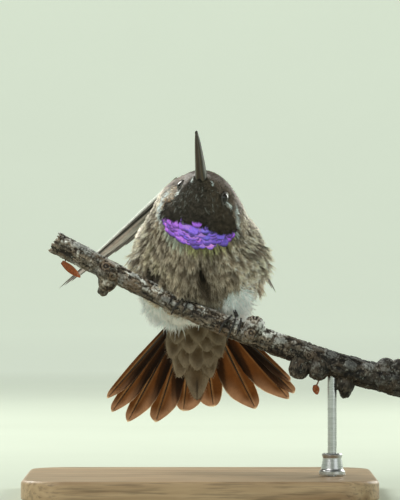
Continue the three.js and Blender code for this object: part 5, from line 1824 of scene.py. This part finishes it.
def foot_material():
    """Dark scaly skin and glossy claws."""
    sh = Shader("scaly_foot")
    cells = sh.add("TexVoronoi", {"Vector": sh.place(), "Scale": 3600.0}).outputs["Distance"]
    roughness = sh.scaled(sh.carried("Alpha"), -0.28, 0.52)
    return sh.surface(Base_Color=sh.times(sh.carried(), sh.ramp(cells, [(0.05, 1.25), (0.7, 0.6)])),
                      Roughness=roughness, Normal=sh.bump(cells, 0.4, 0.03), Specular_IOR_Level=0.55)


class HUMMINGBIRD_OT_feet(BirdOperator, Operator):
    """Eight toes that grip the twig, with rings of scutes and hooked claws, and two short legs"""

    bl_idname = "hummingbird.feet"
    bl_label = "Feet"

    def execute(self, context):
        finish = foot_material()
        dark = rgb(context.scene.hummingbird_perch.foot)
        for name, foot in FEET.items():
            for i, toe in enumerate(("inner", "middle", "outer")):
                self.toe(f"foot_{name}_{toe}_toe", foot, (i - 1) * TOE_APART, foot["toes"][i],
                         foot["reach"][i], 1, dark, finish, f"foot_{name}_toe_{toe}")
            self.toe(f"foot_{name}_hind_toe", foot, 0, 0.002, HIND_REACH, -1, dark, finish,
                     f"foot_{name}_toe_hind")
            self.leg(name, foot, dark, finish)
        return {"FINISHED"}

    def toe(self, name, foot, start, offset, reach, way, dark, finish, replaced):
        """A toe: a tube round the twig from its top, with three swollen joints and scutes on its back, that
        ends in a claw which thins, hooks and touches the bark."""
        t = np.linspace(0, 1.12, 84)
        claw = smooth(t, 0.80, 0.86)
        angle = 90 - way * (8 + (reach - 8) * t) + (14 if way < 0 else 0)
        place = foot["along"] + start + (offset - start) * smooth(t * 1.4)
        pads = 0.05 * np.cos(2 * np.pi * t * 4.2)
        scutes = 0.022 * np.abs(np.sin(np.pi * t * 26))
        point = np.clip((1.125 - t) / 0.32, 0, 1) ** 0.75
        radius = (0.19 + pads * 0.5 + scutes) * (1 - claw) + claw * 0.17 * point
        bark = twig_girth(place, angle)
        hump = 0.42 * np.sin(np.pi * np.clip((t - 0.78) / 0.34, 0, 1))
        away = bark + 0.03 + np.maximum(radius, 0.02) + claw * hump - 0.06 * smooth(t, 1.0, 1.12)
        path = twig_point(place, angle, away)
        outward = unit(path - twig_axes(place)[0])
        points, faces = tube(ring_path(path, np.maximum(radius, 0.012), TOE_SIDES, up=outward))
        shade = mix(dark * (0.8 + 3 * scutes[:, None] * 8), [0.022, 0.018, 0.016], claw)
        colours = np.repeat(carried(shade, 0.15 + 0.8 * claw), TOE_SIDES, 0)
        colours = np.vstack([colours, colours[0], colours[-1]])
        make_piece(name, points, faces, finish, "feet", (replaced,), colours)

    def leg(self, name, foot, dark, finish):
        """A short tarsus from the toes' joint to the belly, ringed with scutes, wider at both joints."""
        along = np.array(foot["along"])
        ankle = twig_point(along, np.array(97.0), twig_axes(along)[4] * 1.05 + 0.42)
        hip = np.array(foot["hip"])
        t = np.linspace(0, 1, 50)
        path = ankle + (hip - ankle) * t[:, None]
        radius = 0.30 + 0.12 * bell(t, 0, 0.12) + 0.02 * np.abs(np.sin(np.pi * 14 * t))
        points, faces = tube(ring_path(path, radius, TOE_SIDES, up=(1, 0, 0)))
        make_piece(f"leg_{name}_tarsus", points, faces, finish, "feet", (f"leg_{name}",),
                   np.tile([*dark, 0.15], (len(points), 1)))


# ---- the stand
class StandSettings(PropertyGroup):
    """Colours of the display stand."""

    wood: colour("Wood", (0.50, 0.355, 0.21), "Pale wood of the base")
    grain: colour("Grain", (0.32, 0.20, 0.105), "Darker lines of its grain")
    steel: colour("Steel", (0.60, 0.61, 0.62), "Brushed steel of the rod and ferrule")


class HUMMINGBIRD_OT_stand(BirdOperator, Operator):
    """The display stand: a wooden base with a rounded edge, and a steel rod in a ferrule up to the twig"""

    bl_idname = "hummingbird.stand"
    bl_label = "Stand"

    def execute(self, context):
        settings = context.scene.hummingbird_stand
        self.base(self.wood(rgb(settings.wood), rgb(settings.grain)))
        steel = self.steel(rgb(settings.steel))
        low, high = (np.array(c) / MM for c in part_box("stand_rod"))
        x, y = (low + high)[:2] / 2
        half = (high - low)[0] / 2
        self.turned_piece("stand_rod_steel", x, y, [(low[2], half), (high[2], half)], steel, "stand_rod", 160)
        low, high = (np.array(c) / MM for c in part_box("stand_ferrule"))
        ring = (high - low)[0] / 2
        profile = [(low[2], half + 0.3), (low[2], ring), (low[2] + 0.7, ring), (low[2] + 0.95, ring - 0.35),
                   (high[2] - 0.9, ring - 0.75), (high[2] - 0.25, ring - 0.55), (high[2], ring - 0.8),
                   (high[2], half + 0.05), (low[2] + 0.2, half + 0.05)]
        self.turned_piece("stand_ferrule_steel", x, y, profile, steel, "stand_ferrule", 8)
        return {"FINISHED"}

    def turned_piece(self, name, x, y, profile, finish, replaced, steps):
        """A turned shape: a profile of heights and radii carried round an upright line."""
        spans = len(profile) - 1
        line = looked_up(np.linspace(0, spans, spans * steps + 1), np.arange(spans + 1), np.array(profile))
        z, r = line[:, :1], line[:, 1:]
        a = np.linspace(0, 2 * np.pi, 56, endpoint=False)
        rings = np.stack([x + r * np.cos(a), y + r * np.sin(a), z + 0 * a], -1)
        make_piece(name, *tube(rings), finish, "stand_steel", (replaced,))

    def base(self, finish):
        """The base: a rounded rectangle (each corner an arc) whose rim is a quarter round above and a small
        one below, closed by rings that shrink to the middle."""
        low, high = (np.array(c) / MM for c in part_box("stand_base"))
        middle, half = (low + high) / 2, (high - low) / 2
        corner = 9.0
        arc = np.radians(np.linspace(0, 90, 14))
        outline = np.concatenate([
            np.stack([sx * (half[0] - corner), sy * (half[1] - corner), turn], -1)[None] + 0 * arc[:, None]
            for sx, sy, turn in ((1, 1, 0), (-1, 1, 90), (-1, -1, 180), (1, -1, 270))])
        angle = np.tile(arc, 4) + np.radians(outline[:, 2])
        edge = 0.9
        rounds = np.radians(np.linspace(0, 90, 7))
        inset = np.concatenate([[half[1] * 0.99, half[1] * 0.5, edge], edge * (1 - np.sin(rounds)), [0.0],
                                0.5 * (1 - np.cos(rounds)), [half[1] * 0.5, half[1] * 0.99]])
        height = np.concatenate([[high[2]] * 3, high[2] - edge * (1 - np.cos(rounds)), [low[2] + 0.6],
                                 low[2] + 0.5 * (1 - np.sin(rounds)), [low[2]] * 2])
        shrink = np.maximum(corner - inset, 0.0)
        rest = np.maximum(inset - corner, 0.0) / (half[1] - corner)
        x = outline[:, 0] * (1 - rest)[:, None] + shrink[:, None] * np.cos(angle)
        y = outline[:, 1] * (1 - rest)[:, None] + shrink[:, None] * np.sin(angle)
        z = height[:, None] + 0 * x
        rings = np.stack([x + middle[0], y + middle[1], z], -1)
        make_piece("stand_base_wood", *tube(rings), finish, "stand_wood", ("stand_base",))

    def wood(self, pale, dark):
        """Oiled wood: rings stretched along the grain, fine pores and a satin sheen."""
        sh = Shader("stand_base_wood")
        rings = sh.noise(60, 4.0, stretch=(0.25, 3.2, 3.2))
        pores = sh.noise(900, 3.0, stretch=(0.12, 2.0, 2.0))
        shade = sh.ramp(rings, [(0.35, dark), (0.50, pale), (0.62, dark * 0.6 + pale * 0.4), (0.75, pale)])
        shade = sh.times(shade, sh.ramp(pores, [(0.35, 0.66), (0.5, 1.0)]))
        return sh.surface(Base_Color=shade, Roughness=sh.scaled(pores, 0.2, 0.36),
                          Normal=sh.bump(pores, 0.25, 0.05), Specular_IOR_Level=0.4)

    def steel(self, steel):
        """Brushed steel: fine rings round the turned shape."""
        sh = Shader("stand_brushed_steel")
        lines = sh.noise(1400, 3.0, stretch=(0.15, 0.15, 4.0))
        shade = sh.ramp(lines, [(0.3, steel * 0.72), (0.7, steel)])
        return sh.surface(Base_Color=shade, Roughness=sh.scaled(lines, 0.2, 0.20),
                          Metallic=1.0, Normal=sh.bump(lines, 0.15, 0.02))


# ---- the stage
CAMERA_PLACE = (0.0, -0.833, 0.0488)  # metres
LIT_PLACE = (0.0, 0.0, 0.045)  # where the lights look, in metres
# Lights: name, place and size in metres, its setting, share of that setting, and tint.
LIGHTS = (
    ("key", (-0.34, -0.42, 0.42), 0.36, "key", 1.0, (1.0, 0.985, 0.95)),
    ("fill", (0.50, -0.55, 0.12), 0.50, "fill", 1.0, (0.95, 0.98, 1.0)),
    ("rim_left", (-0.30, 0.34, 0.36), 0.26, "rim", 1.0, (1.0, 1.0, 0.94)),
    ("rim_right", (0.34, 0.36, 0.22), 0.26, "rim", 0.7, (1.0, 1.0, 0.94)),
)
SKY_TINT = (0.93, 1.0, 0.90, 1.0)


class StageSettings(PropertyGroup):
    """The floor, the lights and the camera."""

    floor: colour("Floor", (0.60, 0.66, 0.56), "Plain pale floor and backdrop")
    key: amount("Key light", 1.9, "Watts of the soft light from the upper left")
    fill: amount("Fill light", 0.82, "Watts of the soft light from the right")
    rim: amount("Rim light", 2.4, "Watts of the light from behind")
    sky: amount("Surrounding light", 0.23, "Strength of the light from all round")
    wall: amount("Wall light", 0.9, "Strength of the glow of the floor's rim")
    lens: amount("Lens", 300.0, "Focal length of the camera in millimetres")


class HUMMINGBIRD_OT_stage(BirdOperator, Operator):
    """The stage: a round pale floor whose rim rises like a dish, soft lights and the camera, level in front

    The floor is flat for 1.6 m, then rises by a quarter of an ellipse. It gives a little light of its own
    towards the rim, as a lit studio wall does, from 0.32 m out.
    """

    bl_idname = "hummingbird.stage"
    bl_label = "Stage"

    def execute(self, context):
        settings = context.scene.hummingbird_stage
        floor = rgb(settings.floor)
        sh = Shader("pale_sweep")
        shade = sh.ramp(sh.noise(14, 3.0), [(0.3, floor * 0.97), (0.7, floor)])
        distance = sh.add("VectorMath", {0: sh.place()}, operation="LENGTH").outputs["Value"]
        lit = sh.ramp(distance, [(0.32, 0.0), (0.85, 0.85 * floor)])
        finish = sh.surface(Base_Color=shade, Roughness=0.9, Specular_IOR_Level=0.2, Emission_Color=lit,
                            Emission_Strength=settings.wall)
        turn = np.radians(np.arange(0, 360, 6.0))
        bend = np.linspace(0, np.pi / 2, 20)
        reach = np.concatenate([[80.0, 400.0, 900.0], 1600 + 600 * np.sin(bend)])[:, None]
        height = np.concatenate([[0.0, 0.0, 0.0], 500 * (1 - np.cos(bend))])[:, None] + 0 * turn
        points = np.stack([reach * np.cos(turn), reach * np.sin(turn), height], -1).reshape(-1, 3)
        count = len(turn)
        faces = [grid_faces(len(reach), count, True)[:, ::-1], fan_faces(np.arange(count), len(points))]
        sweep = make_piece("stage_sweep", np.vstack([points, np.zeros((1, 3))]), faces, finish)

        world = bpy.data.worlds.new("soft_room")
        world.use_nodes = True
        sky = world.node_tree.nodes["Background"].inputs
        sky["Color"].default_value = SKY_TINT
        sky["Strength"].default_value = settings.sky
        context.scene.world = world
        context.scene.view_settings.view_transform = "Standard"

        for name, place, size, setting, share, tint in LIGHTS:
            self.light(name, place, size, getattr(settings, setting) * share, tint)

        data = bpy.data.cameras.new("camera")
        data.lens = settings.lens
        data.sensor_width = 36.0
        data.clip_start, data.clip_end = 0.05, 10.0
        camera = bpy.data.objects.new("camera", data)
        camera.location = CAMERA_PLACE
        camera.rotation_euler = (np.pi / 2, 0.0, 0.0)
        context.scene.collection.objects.link(camera)
        context.scene.camera = camera
        return {"FINISHED"}

    def light(self, name, place, size, watts, tint):
        """A square soft light that looks at the bird; its own -Z points there."""
        data = bpy.data.lights.new(name, "AREA")
        data.size, data.energy, data.color = size, watts, tint
        lamp = bpy.data.objects.new(name, data)
        lamp.location = place
        lamp.rotation_euler = (Vector(place) - Vector(LIT_PLACE)).to_track_quat("Z", "Y").to_euler()
        bpy.context.scene.collection.objects.link(lamp)


# ---- the add-on
SETTINGS = {"hummingbird_plumage": PlumageSettings, "hummingbird_tail": TailSettings,
            "hummingbird_wings": WingSettings, "hummingbird_perch": PerchSettings,
            "hummingbird_stand": StandSettings, "hummingbird_stage": StageSettings}
OPERATORS = (HUMMINGBIRD_OT_stage, HUMMINGBIRD_OT_skin, HUMMINGBIRD_OT_coat, HUMMINGBIRD_OT_gorget,
             HUMMINGBIRD_OT_eyes, HUMMINGBIRD_OT_bill, HUMMINGBIRD_OT_tail, HUMMINGBIRD_OT_tail_coverts,
             HUMMINGBIRD_OT_wings, HUMMINGBIRD_OT_twig, HUMMINGBIRD_OT_feet, HUMMINGBIRD_OT_stand)


class HUMMINGBIRD_PT_panel(Panel):
    """Lists the pieces and their sizes and colours"""

    bl_idname = "HUMMINGBIRD_PT_panel"
    bl_label = "Perched Hummingbird"
    bl_space_type = "VIEW_3D"
    bl_region_type = "UI"
    bl_category = "Hummingbird"

    def draw(self, context):
        for operator in OPERATORS:
            self.layout.operator(operator.bl_idname)
        for name in SETTINGS:
            group = getattr(context.scene, name)
            box = self.layout.box()
            for key in group.bl_rna.properties.keys():
                if key not in ("rna_type", "name"):
                    box.prop(group, key)


def register():
    for made in (*SETTINGS.values(), *OPERATORS, HUMMINGBIRD_PT_panel):
        bpy.utils.register_class(made)
    for name, group in SETTINGS.items():
        setattr(bpy.types.Scene, name, PointerProperty(type=group))


def unregister():
    for name in SETTINGS:
        delattr(bpy.types.Scene, name)
    for made in reversed((*SETTINGS.values(), *OPERATORS, HUMMINGBIRD_PT_panel)):
        bpy.utils.unregister_class(made)


def main():
    """Registers the add-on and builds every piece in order."""
    register()
    for operator in OPERATORS:
        group, name = operator.bl_idname.split(".")
        getattr(getattr(bpy.ops, group), name)()


if __name__ == "__main__":
    main()
